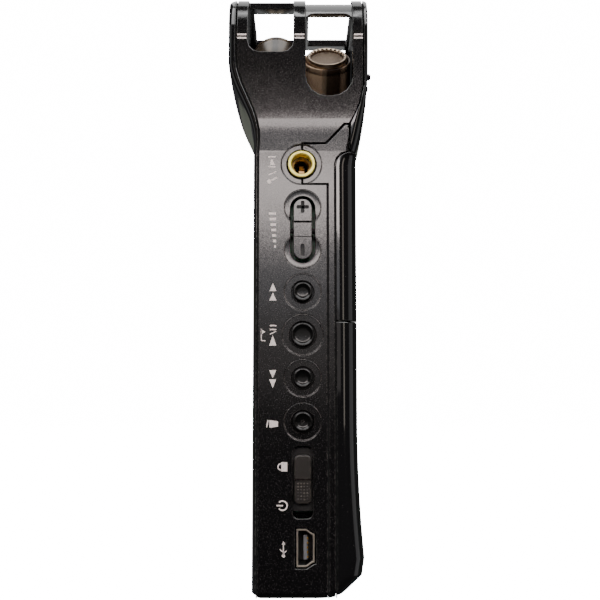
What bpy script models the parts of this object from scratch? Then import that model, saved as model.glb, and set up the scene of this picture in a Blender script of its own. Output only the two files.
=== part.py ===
"""Hand-held stereo recorder: a two-shell case with a crossed microphone pair in a caged head.

Metres, +Z up, front is -Y, back is +Y. The origin is the middle of the flat base.
"""

import math

import bmesh
import bpy
import numpy as np
from mathutils import Vector

# ---------------------------------------------------------------- driving dimensions
GAP = 0.0003  # room between two pieces that touch
RUN = 0.00035  # room round a button or slider in its hole
EPS = 0.0010  # how far a cutter runs past the wall it cuts
FAR = 0.0400  # how far a region reaches beyond the case

# the battery and what must fit beside it set the width
CELL_R = 0.00725
CELL_LENGTH = 0.0505
CELL_NUB = 0.0013
CELL_Y = 0.0033
BAY_ROOM = 0.0004
BAY_WALL = 0.0011
BAY_LOW = 0.0034
SPRING_LENGTH = 0.0026
SPRING_WIRE = 0.0003
CONTACT_THICK = 0.0004
BOSS_R = 0.0020
BOARD_THICK = 0.0010
KEY_ROOM = 0.0052  # from a side board to the wall's inside
WALL = 0.0016
INNER_WALL = 0.0014
BAY_SIDE = CELL_R + BAY_ROOM + BAY_WALL
POST_ROOM = 0.00025
CASE_SCREW_X = BAY_SIDE + BOSS_R + POST_ROOM
SIDE_BOARD_ROOM = 0.0002
SIDE_BOARD_X = CASE_SCREW_X + BOSS_R + SIDE_BOARD_ROOM + BOARD_THICK
BODY_HALF_WIDTH = SIDE_BOARD_X + KEY_ROOM + WALL
HEAD_FLARE = 0.0006
FLARE_BELOW_NECK = 0.0010  # where the sides begin to part
FLARE_LENGTH = 0.0098
HEAD_HALF_WIDTH = BODY_HALF_WIDTH + HEAD_FLARE

# the row of controls up the right side sets the height
USB_Z = 0.0108
POWER_LOW = 0.0171
POWER_HIGH = 0.0328
POWER_TO_KEYS = 0.0053
DELETE_Z = POWER_HIGH + POWER_TO_KEYS
BUTTON_PITCH = 0.0096
KEYS_TO_ROCKER = 0.0142
ROCKER_Z = DELETE_Z + 3 * BUTTON_PITCH + KEYS_TO_ROCKER
ROCKER_TO_JACK = 0.0149
JACK_Z = ROCKER_Z + ROCKER_TO_JACK
JACK_TO_NECK = 0.0032
NECK_LOW = JACK_Z + JACK_TO_NECK
NECK_LENGTH = 0.0265
NECK_HIGH = NECK_LOW + NECK_LENGTH
HEAD_LENGTH = 0.0383
HEIGHT = NECK_LOW + HEAD_LENGTH

BODY_FRONT = 0.01033
BODY_BACK = 0.0131
HEAD_FRONT = 0.0163
HEAD_BACK = 0.01585
CROWN = 0.0003
SHOULDER = 0.0092
NECK_POWER = 2.9  # how fast the back of the neck opens
NECK_FRONT_LOW = 0.0025  # above the neck, where its front begins to swell
NECK_FRONT_HIGH = 0.0215
FOOT_ROUND = 0.0013
FOOT_SLOPE = 0.7
HEEL_Z = 0.0082
HEEL_OUT = 0.0014
HEEL_FADE = 0.0300
HEEL_CHAMFER_Y = 0.0040
HEEL_CHAMFER_Z = 0.0045

FRONT_EDGE = 0.0009  # corner radius and so the visible edge of the front plate
FRONT_NECK_EDGE = 0.0017
BACK_EDGE = 0.0046
BACK_NECK_EDGE = 0.0026
TOP_EDGE = 0.0010

SEAM_Y = 0.0063
JACK_Y = 0.00055
TAB_BELOW_JACK = 0.0047
TAB_LOW = JACK_Z - TAB_BELOW_JACK
TAB_ABOVE_JACK = 0.0050
TAB_HIGH = JACK_Z + TAB_ABOVE_JACK
COVER_Y = 0.0083  # where the glossy back begins on the side
PANEL_THICK = 0.0013
LAP = 0.0020
BAY_HIGH = BAY_LOW + 5 * GAP + 2 * CONTACT_THICK + SPRING_LENGTH + CELL_LENGTH
COVER_TOP = BAY_HIGH + BAY_WALL + GAP
COVER_BOTTOM = 0.0004
PANEL_BELOW_NECK = 0.0004
PANEL_TOP = NECK_LOW - PANEL_BELOW_NECK
PLATE_BOTTOM = 0.0007
HEAD_SEAM_ABOVE_NECK = 0.0062
HEAD_SEAM_Z = NECK_LOW + HEAD_SEAM_ABOVE_NECK
HEAD_SEAM_Y = 0.0117
HEAD_COVER_Y = 0.0149

RIB = 0.0028
FRONT_WINDOW_Y = -0.0118
MIDDLE_RIB_Y = -0.0013
REAR_WINDOW_END = 0.0123
TOP_WINDOW_INSET = 0.0008
SHORT_WINDOW_DEEP = 0.0152
SHORT_WINDOW_Z = HEIGHT - SHORT_WINDOW_DEEP
LONG_WINDOW_DEEP = 0.0256
LONG_WINDOW_Z = HEIGHT - LONG_WINDOW_DEEP
SIDE_BAR_H = 0.0056
LONG_WINDOW_TOP = HEIGHT - SIDE_BAR_H
RAIL_OUT_INSET = 0.0080
RAIL_OUT = HEAD_HALF_WIDTH - RAIL_OUT_INSET
RAIL_IN_INSET = 0.0113
RAIL_IN = HEAD_HALF_WIDTH - RAIL_IN_INSET
TOP_NEAR_INSET = 0.0131
TOP_NEAR = HEAD_HALF_WIDTH - TOP_NEAR_INSET
BAR_RECESS = 0.0008
BAY_ABOVE_NECK = 0.0080
BAY_FLOOR_Z = NECK_LOW + BAY_ABOVE_NECK
BAY_FLOOR = 0.0018
ROOF = 0.0018

MIC_DOWN = 0.0085
MIC_Z = HEIGHT - MIC_DOWN
MIC_X = 0.0005
MIC_REAR_Y = 0.0070
MIC_FRONT_Y = -0.00575
MIC_TILT = math.radians(45.0)
SLEEVE_R = 0.0060
SLEEVE_LENGTH = 0.0120
SLEEVE_SET_BACK = 0.0010
SLEEVE_WALL = 0.0006
CAPSULE_RIM_R = 0.0050
GRILLE_R = 0.0043
GRILLE_SET_BACK = 0.0008
GRILLE_THICK = 0.0004
CAPSULE_DEPTH = 0.0100
CRADLE_HALF_WIDTH = 0.0100
CRADLE_HEIGHT = 0.0045

BUTTON_Y = 0.0008
SMALL_HOLE_R = 0.00255
PLAY_HOLE_R = 0.00305
BUTTON_PROUD = 0.0006
BUTTON_STEM = 0.0010
BUTTON_TRAVEL = 0.0005
FLANGE = 0.0007
ROCKER_SLOT_W = 0.0054
ROCKER_SLOT_L = 0.0150
ROCKER_ROOM = 0.00065
ROCKER_PROUD = 0.0005
ROCKER_DEPTH = 0.0032
ROCKER_DIP = 0.0004
ROCKER_DIP_HALF = 0.0018
TRUNNION_R = 0.0006
POWER_SLOT_W = 0.0044
POWER_KNOB_L = 0.0105
POWER_UP = 0.0016
POWER_KNOB_ROOM = 0.0004
POWER_PROUD = 0.0007
POWER_STEP = 0.0003
CARRIER_OVERLAP = 0.0010

JACK_BUSH_R = 0.0031
JACK_BUSH_BORE = 0.00225
JACK_PROUD = 0.0003
JACK_BODY_L = 0.0105
JACK_BODY_W = 0.0062
JACK_BORE = 0.0018
USB_Y = 0.0014
USB_W = 0.0040
USB_L = 0.0082
USB_DEPTH = 0.0070
USB_WALL = 0.0004
USB_TONGUE = 0.0009

DOOR_ABOVE_BAY = 0.0074
DOOR_Z = BAY_HIGH + BAY_WALL + DOOR_ABOVE_BAY
DOOR_Y = -0.0047
DOOR_L = 0.0138
DOOR_W = 0.0042
DOOR_THICK = 0.0010
SOCKET_L = 0.0150
SOCKET_H = 0.0120
SOCKET_THICK = 0.0018
CARD_THICK = 0.0007
CARD_H = 0.0105
CARD_SHOWS = 0.0008
STRAP_Z = 0.0120
STRAP_SLOT = 0.0080
STRAP_DEPTH = 0.0040
STRAP_PIN_R = 0.0008

LAMP_BELOW_NECK = 0.0035
LAMP_Z = NECK_LOW - LAMP_BELOW_NECK
LAMP_R = 0.0012
LAMP_TO_SCREEN = 0.0190
SCREEN_Z = LAMP_Z - LAMP_TO_SCREEN
SCREEN_SIDE = 0.0060
SCREEN_HALF_W = BODY_HALF_WIDTH - SCREEN_SIDE
SCREEN_HALF_H = 0.0125
DISPLAY_MARGIN = 0.0015
SCREEN_TO_RECORD = 0.0310
RECORD_Z = SCREEN_Z - SCREEN_TO_RECORD
RECORD_R = 0.0062
RECORD_PROUD = 0.0001
RECORD_FLANGE = 0.0004
RECORD_TRAVEL = 0.0004
BOARD_LOW = 0.0040
BOARD_BELOW_NECK = 0.0005
BOARD_HIGH = NECK_LOW - BOARD_BELOW_NECK
BOARD_SIDE_ROOM = 0.0008
BOARD_HALF_W = BODY_HALF_WIDTH - WALL - BOARD_SIDE_ROOM
SIDE_BOARD_START = 0.0006
SIDE_BOARD_LOW = POWER_LOW + SIDE_BOARD_START
SIDE_BOARD_ABOVE_ROCKER = 0.0081
SIDE_BOARD_HIGH = ROCKER_Z + SIDE_BOARD_ABOVE_ROCKER
SIDE_BOARD_BACK = 0.0050
SWITCH_W = 0.0032
LONG_SWITCH_W = 0.0040

COVER_TO_BUSH = 0.0088
BUSH_Z = COVER_TOP + COVER_TO_BUSH
BUSH_R = 0.0045
BUSH_BORE = 0.00318
BUSH_DEPTH = 0.0065
BUSH_FLOOR = 0.0012
SPEAKER_DOWN = 0.0113
SPEAKER_Z = PANEL_TOP - SPEAKER_DOWN
SPEAKER_R = 0.0075
SPEAKER_THICK = 0.0030
GRILLE_SLOTS = 5
GRILLE_SLOT_L = 0.0100
GRILLE_SLOT_W = 0.0010
GRILLE_PITCH = 0.0022

SWITCH_DOWN = 0.0170
SWITCH_Z = HEIGHT - SWITCH_DOWN
SWITCH_SPACING = 0.0090
SWITCH_TRAVEL = 0.0016
SWITCH_KNOB_L = 0.0022
SWITCH_KNOB_H = 0.0014
SWITCH_PROUD = 0.0011
SWITCH_FOOT = 0.0009
SWITCH_POCKET = 0.0008

SCREW_SHANK = 0.0008
SCREW_HEAD = 0.0016
SCREW_HEAD_H = 0.0008
CASE_SCREW_LOW = 0.0300
HIGH_SCREW_ABOVE_NECK = 0.00225
CASE_SCREW_HIGH = NECK_LOW + HIGH_SCREW_ABOVE_NECK
CASE_SCREW_BITE = 0.0060
BOARD_SCREW_INSET = 0.0074
BOARD_SCREW_X = BOARD_HALF_W - BOARD_SCREW_INSET
BOARD_SCREW_INSET_LOW = 0.0080
BOARD_SCREW_INSET_HIGH = 0.0030
BOARD_SCREW_LOW = BOARD_LOW + BOARD_SCREW_INSET_LOW
BOARD_SCREW_HIGH = SCREEN_Z - SCREEN_HALF_H - BOARD_SCREW_INSET_HIGH

# ---------------------------------------------------------------- colours
BLACK_SATIN = (0.018, 0.017, 0.018)
BLACK_GLOSS = (0.006, 0.006, 0.007)
BRONZE = (0.42, 0.36, 0.30)
GOLD = (0.86, 0.73, 0.36)
STEEL = (0.62, 0.62, 0.61)
BOARD_GREEN = (0.02, 0.14, 0.07)
CELL_GREY = (0.30, 0.31, 0.32)
LCD_GREY = (0.36, 0.40, 0.34)
LENS_DARK = (0.02, 0.022, 0.025)
RED = (0.62, 0.03, 0.02)
MATTE_DARK = (0.03, 0.03, 0.03)


# ---------------------------------------------------------------- scene and materials
def clear_scene():
    """Take every object out of the open scene."""
    for thing in list(bpy.data.objects):
        bpy.data.objects.remove(thing, do_unlink=True)


def finish(name, colour, roughness, metallic=0.0):
    """One Principled material for one sub-part."""
    material = bpy.data.materials.new(name)
    material.use_nodes = True
    shader = material.node_tree.nodes["Principled BSDF"]
    shader.inputs["Base Color"].default_value = (*colour, 1.0)
    shader.inputs["Roughness"].default_value = roughness
    shader.inputs["Metallic"].default_value = metallic
    material.diffuse_color = (*colour, 1.0)
    return material


def add_object(name, mesh, look=None):
    """Link a mesh as an object; a look is (colour, roughness, metallic)."""
    thing = bpy.data.objects.new(name, mesh)
    bpy.context.scene.collection.objects.link(thing)
    if look:
        mesh.materials.append(finish(name + "_finish", *look))
    return thing


def add_guide(name, mesh):
    """A cutter: seen as a wire and left out of renders."""
    thing = add_object(name, mesh)
    thing.hide_render = True
    thing.display_type = "WIRE"
    return thing


# ---------------------------------------------------------------- mesh makers
def mesh_from_rings(name, rings, smooth=False):
    """Skin a stack of equal rings and close both ends."""
    built = bmesh.new()
    rows = [[built.verts.new(point) for point in ring] for ring in rings]
    count = len(rows[0])
    for low, high in zip(rows, rows[1:]):
        for i in range(count):
            j = (i + 1) % count
            built.faces.new((low[i], low[j], high[j], high[i]))
    built.faces.new(reversed(rows[0]))
    built.faces.new(rows[-1])
    bmesh.ops.recalc_face_normals(built, faces=built.faces)
    mesh = bpy.data.meshes.new(name)
    built.to_mesh(mesh)
    built.free()
    if smooth:
        mesh.shade_smooth()
        mesh.set_sharp_from_angle(angle=math.radians(30))
    return mesh


def box_mesh(name, low, high):
    """A box between two corners."""
    built = bmesh.new()
    bmesh.ops.create_cube(built, size=1.0)
    middle = (Vector(low) + Vector(high)) / 2
    size = Vector(high) - Vector(low)
    bmesh.ops.scale(built, vec=size, verts=built.verts)
    bmesh.ops.translate(built, vec=middle, verts=built.verts)
    mesh = bpy.data.meshes.new(name)
    built.to_mesh(mesh)
    built.free()
    return mesh


def extrude_mesh(name, outline, axis, start, end):
    """Extrude a flat outline along X or Y; its points are (y, z) or (x, z)."""
    def place(u, v, along):
        return (along, u, v) if axis == "X" else (u, along, v)
    rings = [[place(u, v, along) for u, v in outline] for along in (start, end)]
    return mesh_from_rings(name, rings)


def turned_mesh(name, profile, segments=20):
    """Turn (radius, height) pairs about Z, one ring a pair."""
    rings = []
    for radius, height in profile:
        angles = [2 * math.pi * i / segments for i in range(segments)]
        rings.append([(radius * math.cos(a), radius * math.sin(a), height) for a in angles])
    return mesh_from_rings(name, rings, smooth=True)


def arc_points(centre, radius, start, end, steps):
    """Points on an arc, angles in degrees, both ends included."""
    angles = [math.radians(start + (end - start) * i / steps) for i in range(steps + 1)]
    return [(centre[0] + radius * math.cos(a), centre[1] + radius * math.sin(a)) for a in angles]


def rounded_outline(centre, width, height, radii, steps=4):
    """A rectangle's outline with corner radii in the order low-right, high-right, high-left, low-left."""
    half_w, half_h = width / 2, height / 2
    corners = ((1, -1, 270), (1, 1, 0), (-1, 1, 90), (-1, -1, 180))
    points = []
    for (sign_u, sign_v, start), radius in zip(corners, radii):
        middle = (centre[0] + sign_u * (half_w - radius), centre[1] + sign_v * (half_h - radius))
        points += arc_points(middle, radius, start, start + 90, steps if radius > EPS / 10 else 1)
    return points


def slot_outline(centre, width, length, steps=6):
    """An upright slot with round ends."""
    lift = (length - width) / 2
    return (arc_points((centre[0], centre[1] + lift), width / 2, 0, 180, steps)
            + arc_points((centre[0], centre[1] - lift), width / 2, 180, 360, steps))


def circle_outline(centre, radius, segments=20):
    """A circle's outline, with no corner right above its centre."""
    half = 180 / segments
    return arc_points(centre, radius, half, 360 - half, segments - 1)


# ---------------------------------------------------------------- Booleans
def combine(thing, other, operation):
    """Cut, join or keep with the exact solver."""
    modifier = thing.modifiers.new(operation.lower() + "_" + other.name, "BOOLEAN")
    modifier.operation = operation
    modifier.object = other
    modifier.solver = "EXACT"
    return thing


def cut(thing, *others):
    """Take the cutters out of the piece."""
    for other in others:
        combine(thing, other, "DIFFERENCE")


def join(thing, *others):
    """Fuse the guides onto the piece."""
    for other in others:
        combine(thing, other, "UNION")


def box_cutter(name, low, high):
    """A box-shaped guide."""
    return add_guide(name, box_mesh(name, low, high))


def prism(name, outline, axis, start, end):
    """An extruded guide."""
    return add_guide(name, extrude_mesh(name, outline, axis, start, end))


def both_sides(name, outline, inner, side):
    """A guide through one side wall of the case; side is +1 or -1."""
    start, end = sorted((side * inner, side * FAR))
    return prism(name, outline, "X", start, end)


# ---------------------------------------------------------------- the case's outer form
def neck_share(z):
    """How much of the widening from body to head is done at a height, 0 to 1."""
    share = min(max((z - NECK_LOW) / (NECK_HIGH - NECK_LOW), 0.0), 1.0)
    return 1.0 - (1.0 - share) ** NECK_POWER


def front_share(z):
    """How much of the swelling of the neck's front is done at a height, 0 to 1."""
    share = (z - NECK_LOW - NECK_FRONT_LOW) / (NECK_FRONT_HIGH - NECK_FRONT_LOW)
    share = min(max(share, 0.0), 1.0)
    return share * share * (3 - 2 * share)


def half_width(z, inset):
    """Half of the case's width, with the quarter-round shoulder at the top."""
    share = min(max((z - NECK_LOW + FLARE_BELOW_NECK) / FLARE_LENGTH, 0.0), 1.0)
    ease = share * share * (3 - 2 * share)
    width = BODY_HALF_WIDTH + (HEAD_HALF_WIDTH - BODY_HALF_WIDTH) * ease - inset
    if z < FOOT_ROUND:
        width -= FOOT_SLOPE * (FOOT_ROUND - z)
    centre_z = HEIGHT - SHOULDER
    if z > centre_z:
        rise = min(z - centre_z, SHOULDER - inset)
        width -= SHOULDER - inset - math.sqrt(max((SHOULDER - inset) ** 2 - rise ** 2, 0.0))
    return width


def front_depth(z):
    """How far the front face lies before the origin."""
    depth = BODY_FRONT + (HEAD_FRONT - BODY_FRONT) * front_share(z)
    if z < FOOT_ROUND:
        depth -= FOOT_ROUND - z
    top = max(z - (HEIGHT - 2 * TOP_EDGE), 0.0) / (2 * TOP_EDGE)
    return depth - TOP_EDGE * 1.6 * top ** 2


def back_depth(z):
    """How far the back face lies behind the origin, with its heel and its chamfered foot."""
    depth = BODY_BACK + (HEAD_BACK - BODY_BACK) * neck_share(z)
    if z < HEEL_Z:
        heel = BODY_BACK + HEEL_OUT
        heights = (0.0, HEEL_CHAMFER_Z, HEEL_Z)
        depths = (BODY_BACK - HEEL_CHAMFER_Y, heel - HEEL_OUT * 0.4, heel)
        return float(np.interp(z, heights, depths))
    fade = max(1.0 - (z - HEEL_Z) / HEEL_FADE, 0.0)
    depth += HEEL_OUT * fade ** 2
    top = max(z - (HEIGHT - 2 * TOP_EDGE), 0.0) / (2 * TOP_EDGE)
    return depth - TOP_EDGE * 1.6 * top ** 2


def front_radius(z):
    """Corner radius at the front: small on the body, large where the head begins."""
    heights = (NECK_LOW, NECK_LOW + NECK_FRONT_HIGH / 2)
    radii = (FRONT_EDGE, FRONT_NECK_EDGE)
    return float(np.interp(z, heights, radii))


def back_radius(z):
    """Corner radius at the back: large on the body, small up the head."""
    middle = (NECK_LOW + NECK_HIGH) / 2
    heights = (PANEL_TOP - 2 * BACK_EDGE, PANEL_TOP, HEAD_SEAM_Z, middle, NECK_HIGH)
    radii = (BACK_EDGE, BACK_NECK_EDGE, BACK_NECK_EDGE, TOP_EDGE * 1.5, TOP_EDGE * 0.8)
    return float(np.interp(z, heights, radii))


def case_ring(z, inset, corner_steps, crown_steps):
    """One level of the case, anticlockwise from above, drawn in by the inset."""
    width = half_width(z, inset)
    front = front_depth(z) - inset
    back = back_depth(z) - inset
    front_r = max(front_radius(z) - inset, GAP)
    back_r = max(back_radius(z) - inset, GAP)
    corners = (
        ((width - front_r, -front + front_r), front_r, -90),
        ((width - back_r, back - back_r), back_r, 0),
        ((-width + back_r, back - back_r), back_r, 90),
        ((-width + front_r, -front + front_r), front_r, 180),
    )
    points = []
    for number, (middle, radius, start) in enumerate(corners):
        points += arc_points(middle, radius, start, start + 90, corner_steps)
        if number == 1:
            points += crown_points(width - back_r, back, CROWN, crown_steps, -1)
        if number == 3:
            points += crown_points(width - front_r, -front, -CROWN, crown_steps, 1)
    return [(x, y, z) for x, y in points]


def crown_points(reach, y, rise, steps, direction):
    """Points between two corners on a slightly domed face."""
    shares = [direction * (2 * (i + 1) / (steps + 1) - 1) for i in range(steps)]
    return [(reach * s, y + rise * (1 - s * s)) for s in shares]


NECK_RINGS = (0.0, 0.08, 0.17, 0.27, 0.37, 0.48, 0.6, 0.72, 0.84, 1.0)


def case_levels(low, high, inset):
    """Heights worth a ring: close where the form bends, far apart where it is straight."""
    neck = NECK_HIGH - NECK_LOW
    wanted = [0.0, 0.4 * FOOT_ROUND, FOOT_ROUND, HEEL_CHAMFER_Z, HEEL_Z]
    wanted += [HEEL_Z + HEEL_FADE * share for share in (0.2, 0.5, 1.0)]
    wanted += [PANEL_TOP - 2 * BACK_EDGE, PANEL_TOP]
    wanted += [NECK_LOW + neck * share for share in NECK_RINGS]
    top = HEIGHT - SHOULDER
    reach = SHOULDER - inset
    wanted += [top + reach * math.sin(math.radians(angle)) for angle in (0, 15, 30, 45, 60, 73, 83)]
    return [low] + sorted(z for z in wanted if low + EPS / 4 < z < high - EPS / 8) + [high]


def case_mesh(name, inset, low, high, corner_steps=3, crown_steps=1):
    """The whole case between two heights, drawn in by the inset."""
    levels = case_levels(low, high, inset)
    rings = [case_ring(z, inset, corner_steps, crown_steps) for z in levels]
    return mesh_from_rings(name, rings, smooth=True)


# ---------------------------------------------------------------- the lines where the case divides
def plate_line(shift):
    """Outline (y, z) of everything in front of the front plate's rear face."""
    heights = [-EPS, NECK_LOW]
    neck = NECK_HIGH - NECK_LOW
    heights += [NECK_LOW + neck * share for share in NECK_RINGS[1:-1]]
    heights += [HEIGHT + EPS]
    line = []
    for z in heights:
        inside = min(max(z, FOOT_ROUND), HEIGHT - 2 * TOP_EDGE)
        line.append((-front_depth(inside) + front_radius(inside) + shift, z))
    return [(-FAR, -EPS)] + line + [(-FAR, HEIGHT + EPS)]


def head_line(shift):
    """Points (y, z) up the seam between the head and its glossy back."""
    slant = HEAD_SEAM_Z + 0.45 * (NECK_HIGH - HEAD_SEAM_Z)
    middle = (HEAD_SEAM_Z + slant) / 2
    return [
        (HEAD_SEAM_Y + shift, HEAD_SEAM_Z),
        ((HEAD_SEAM_Y + HEAD_COVER_Y) / 2 + 2 * GAP + shift, middle),
        (HEAD_COVER_Y + shift, slant),
        (HEAD_COVER_Y + shift, HEIGHT + EPS),
    ]


def behind_seam(shift):
    """Outline (y, z) of everything behind the front shell."""
    return [
        (FAR, -EPS),
        (SEAM_Y + shift, -EPS),
        (SEAM_Y + shift, TAB_LOW + shift),
        (JACK_Y + shift, TAB_LOW + shift),
        (JACK_Y + shift, TAB_HIGH - shift),
        (SEAM_Y - GAP + shift, TAB_HIGH - shift),
        (HEAD_SEAM_Y - 0.0015 + shift, HEAD_SEAM_Z - shift),
        *head_line(shift - GAP),
        (FAR, HEIGHT + EPS),
    ]


def glossy_line(shift):
    """Points (y, z) up the side edge of the glossy back, with its round top."""
    rise = PANEL_TOP + shift
    reach = HEAD_SEAM_Y - GAP - COVER_Y
    line = [(COVER_Y - shift, -EPS)]
    for angle in (0, 30, 60, 90):
        a = math.radians(angle)
        line.append((COVER_Y - shift + reach * (1 - math.cos(a)), rise - reach * (1 - math.sin(a))))
    return line


def case_copy(name, inset=0.0, low=0.0, high=HEIGHT, steps=3):
    """A guide with the case's form."""
    return add_guide(name, case_mesh(name, inset, low, high, steps))


# ---------------------------------------------------------------- front shell
def side_hole_outlines():
    """Outlines (y, z) of the holes in the right side, by name."""
    holes = {
        "power": slot_outline((BUTTON_Y, (POWER_LOW + POWER_HIGH) / 2), POWER_SLOT_W,
                              POWER_HIGH - POWER_LOW, 5),
        "level": slot_outline((BUTTON_Y, ROCKER_Z), ROCKER_SLOT_W, ROCKER_SLOT_L),
        "jack": circle_outline((JACK_Y, JACK_Z), JACK_BUSH_R + GAP),
        "usb": usb_outline(USB_W + 2 * GAP, USB_L + 2 * GAP),
    }
    for name, z, radius in BUTTONS:
        holes[name] = circle_outline((BUTTON_Y, z), radius)
    return holes


def usb_outline(width, length):
    """The socket's outline (y, z): full length at the front, stepped in at the back."""
    step = 0.12 * length
    low, high = USB_Z - length / 2, USB_Z + length / 2
    front, back = USB_Y - width / 2, USB_Y + width / 2
    middle = front + 0.55 * width
    return [
        (front, low), (middle, low), (back - 0.1 * width, low + step), (back, low + step),
        (back, high - step), (back - 0.1 * width, high - step), (middle, high), (front, high),
    ]


BUTTONS = (
    ("delete_button", DELETE_Z, SMALL_HOLE_R),
    ("rewind_button", DELETE_Z + BUTTON_PITCH, SMALL_HOLE_R),
    ("play_button", DELETE_Z + 2 * BUTTON_PITCH, PLAY_HOLE_R),
    ("forward_button", DELETE_Z + 3 * BUTTON_PITCH, SMALL_HOLE_R),
)


def cut_windows(shell):
    """Open the head: two side windows, two openings in the roof, on each side."""
    top = HEIGHT + EPS
    rear_start = MIDDLE_RIB_Y + RIB
    front_w = MIDDLE_RIB_Y - FRONT_WINDOW_Y
    rear_w = REAR_WINDOW_END - rear_start
    front_y = (FRONT_WINDOW_Y + MIDDLE_RIB_Y) / 2
    rear_y = (rear_start + REAR_WINDOW_END) / 2
    for side in (1, -1):
        short_y, short_w = (front_y, front_w) if side > 0 else (rear_y, rear_w)
        long_y, long_w = (rear_y, rear_w) if side > 0 else (front_y, front_w)
        label = "right" if side > 0 else "left"
        short_h = top - SHORT_WINDOW_Z
        short = rounded_outline((short_y, SHORT_WINDOW_Z + short_h / 2), short_w, short_h,
                                (0.25 * short_w, GAP, GAP, 0.25 * short_w), 3)
        cut(shell, both_sides(label + "_short_window", short, RAIL_OUT, side))
        long_h = LONG_WINDOW_TOP - LONG_WINDOW_Z
        low_r, high_r = 0.45 * long_w, 0.18 * long_w
        long = rounded_outline((long_y, LONG_WINDOW_Z + long_h / 2), long_w, long_h,
                               (low_r, high_r, high_r, low_r), 4)
        cut(shell, both_sides(label + "_long_window", long, RAIL_OUT, side))
        start, end = sorted((side * (TOP_NEAR - EPS), side * FAR))
        recess = box_cutter(label + "_bar_recess", (start, long_y - long_w / 2, LONG_WINDOW_TOP - EPS),
                            (end, long_y + long_w / 2, top))
        cut(recess, case_copy(label + "_bar_form", BAR_RECESS, BAY_FLOOR_Z, HEIGHT - BAR_RECESS))
        cut(shell, recess)
        near, far = sorted((side * RAIL_IN, -side * TOP_NEAR))
        start_y = short_y - short_w / 2 + TOP_WINDOW_INSET
        roof = box_cutter(label + "_roof_window", (near, start_y, HEIGHT - 4 * ROOF),
                          (far, short_y + short_w / 2, top))
        cut(shell, roof)


def front_shell():
    """Front and sides of the case with the microphone cage on top, one moulding."""
    look = (BLACK_SATIN, 0.42)
    shell = add_object("front_shell", case_mesh("front_shell", 0.0, 0.0, HEIGHT), look)
    cut(shell, prism("plate_space", plate_line(GAP), "X", -FAR, FAR))
    cut(shell, prism("rear_space", behind_seam(0.0), "X", -FAR, FAR))
    body = case_copy("body_room", WALL, WALL, BAY_FLOOR_Z, 2)
    cut(body, prism("body_room_front", plate_line(GAP + INNER_WALL), "X", -FAR, FAR))
    cut(shell, body)
    bay = case_copy("bay_room", WALL, BAY_FLOOR_Z + BAY_FLOOR, HEIGHT - ROOF, 2)
    cut(bay, prism("bay_room_front", plate_line(GAP + INNER_WALL), "X", -FAR, FAR))
    wall = [(y, z) for y, z in head_line(-INNER_WALL - GAP)]
    cut(bay, prism("bay_room_back", [(FAR, HEAD_SEAM_Z), *wall, (FAR, HEIGHT + EPS)], "X", -FAR, FAR))
    cut(shell, bay)
    cut_windows(shell)
    for name, outline in side_hole_outlines().items():
        cut(shell, both_sides(name + "_hole", outline, SIDE_BOARD_X + WALL, 1))
    cut(shell, both_sides("volume_hole", side_hole_outlines()["level"], SIDE_BOARD_X + WALL, -1))
    cut(shell, both_sides("phones_hole", side_hole_outlines()["jack"], SIDE_BOARD_X + WALL, -1))
    door = rounded_outline((DOOR_Y, DOOR_Z), DOOR_W + 2 * GAP, DOOR_L + 2 * GAP, (GAP,) * 4, 1)
    cut(shell, both_sides("door_hole", door, SIDE_BOARD_X + WALL, -1))
    strap = slot_outline((BUTTON_Y, STRAP_Z), STRAP_DEPTH, STRAP_SLOT, 4)
    cut(shell, both_sides("strap_hole", strap, SIDE_BOARD_X + WALL, -1))
    cut_front_wall(shell)
    add_bosses(shell)
    for label, y, side in MICROPHONES:
        cut(shell, sleeve_room(label, y, side))
    for name, x in HEAD_SWITCHES:
        cut(shell, switch_pocket(name, x))
    return shell


def cut_front_wall(shell):
    """Holes in the wall behind the front plate: display, record button, lamp."""
    near, far = -HEAD_FRONT, -BODY_FRONT + FRONT_EDGE + INNER_WALL + EPS
    half_w = SCREEN_HALF_W - DISPLAY_MARGIN + GAP
    half_h = SCREEN_HALF_H - DISPLAY_MARGIN + GAP
    cut(shell, box_cutter("display_hole", (-half_w, near, SCREEN_Z - half_h),
                          (half_w, far, SCREEN_Z + half_h)))
    cut(shell, prism("record_wall_hole", circle_outline((0.0, RECORD_Z), RECORD_R + FLANGE + RUN, 24),
                     "Y", near, far))
    cut(shell, prism("lamp_wall_hole", circle_outline((0.0, LAMP_Z), LAMP_R + GAP, 12), "Y", near, far))
    for x, z in board_screw_places():
        cut(shell, prism("board_pilot_%d" % round(z * 1e4), circle_outline((x, z), SCREW_SHANK + GAP, 10),
                         "Y", near, far))


def add_bosses(shell):
    """Screw posts that rise from the front wall towards the rear shell."""
    start = front_inner_face() - INNER_WALL / 4
    for number, (x, z) in enumerate(case_screw_places()):
        post = prism("post_%d" % number, circle_outline((x, z), BOSS_R, 12), "Y", start, post_end(z))
        join(shell, post)
        pilot = prism("pilot_%d" % number, circle_outline((x, z), SCREW_SHANK + GAP, 10), "Y",
                      post_end(z) - CASE_SCREW_BITE, post_end(z) + EPS)
        cut(shell, pilot)


def front_inner_face():
    """Y of the inner face of the wall behind the front plate."""
    return -BODY_FRONT + FRONT_EDGE + GAP + INNER_WALL


def board_rear_face():
    """Y of the main board's rear face."""
    return front_inner_face() + GAP + BOARD_THICK


def post_end(z):
    """Y where a screw post stops: just short of the rear shell's wall."""
    return min(back_depth(z - BOSS_R), back_depth(z + BOSS_R)) - LAP - WALL - GAP


def case_screw_places():
    """Places (x, z) of the four case screws."""
    return [(side * CASE_SCREW_X, z) for z in (CASE_SCREW_LOW, CASE_SCREW_HIGH) for side in (-1, 1)]


def board_screw_places():
    """Places (x, z) of the board screws."""
    return [(side * BOARD_SCREW_X, z) for z, side in ((BOARD_SCREW_LOW, -1), (BOARD_SCREW_HIGH, 1))]


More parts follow.
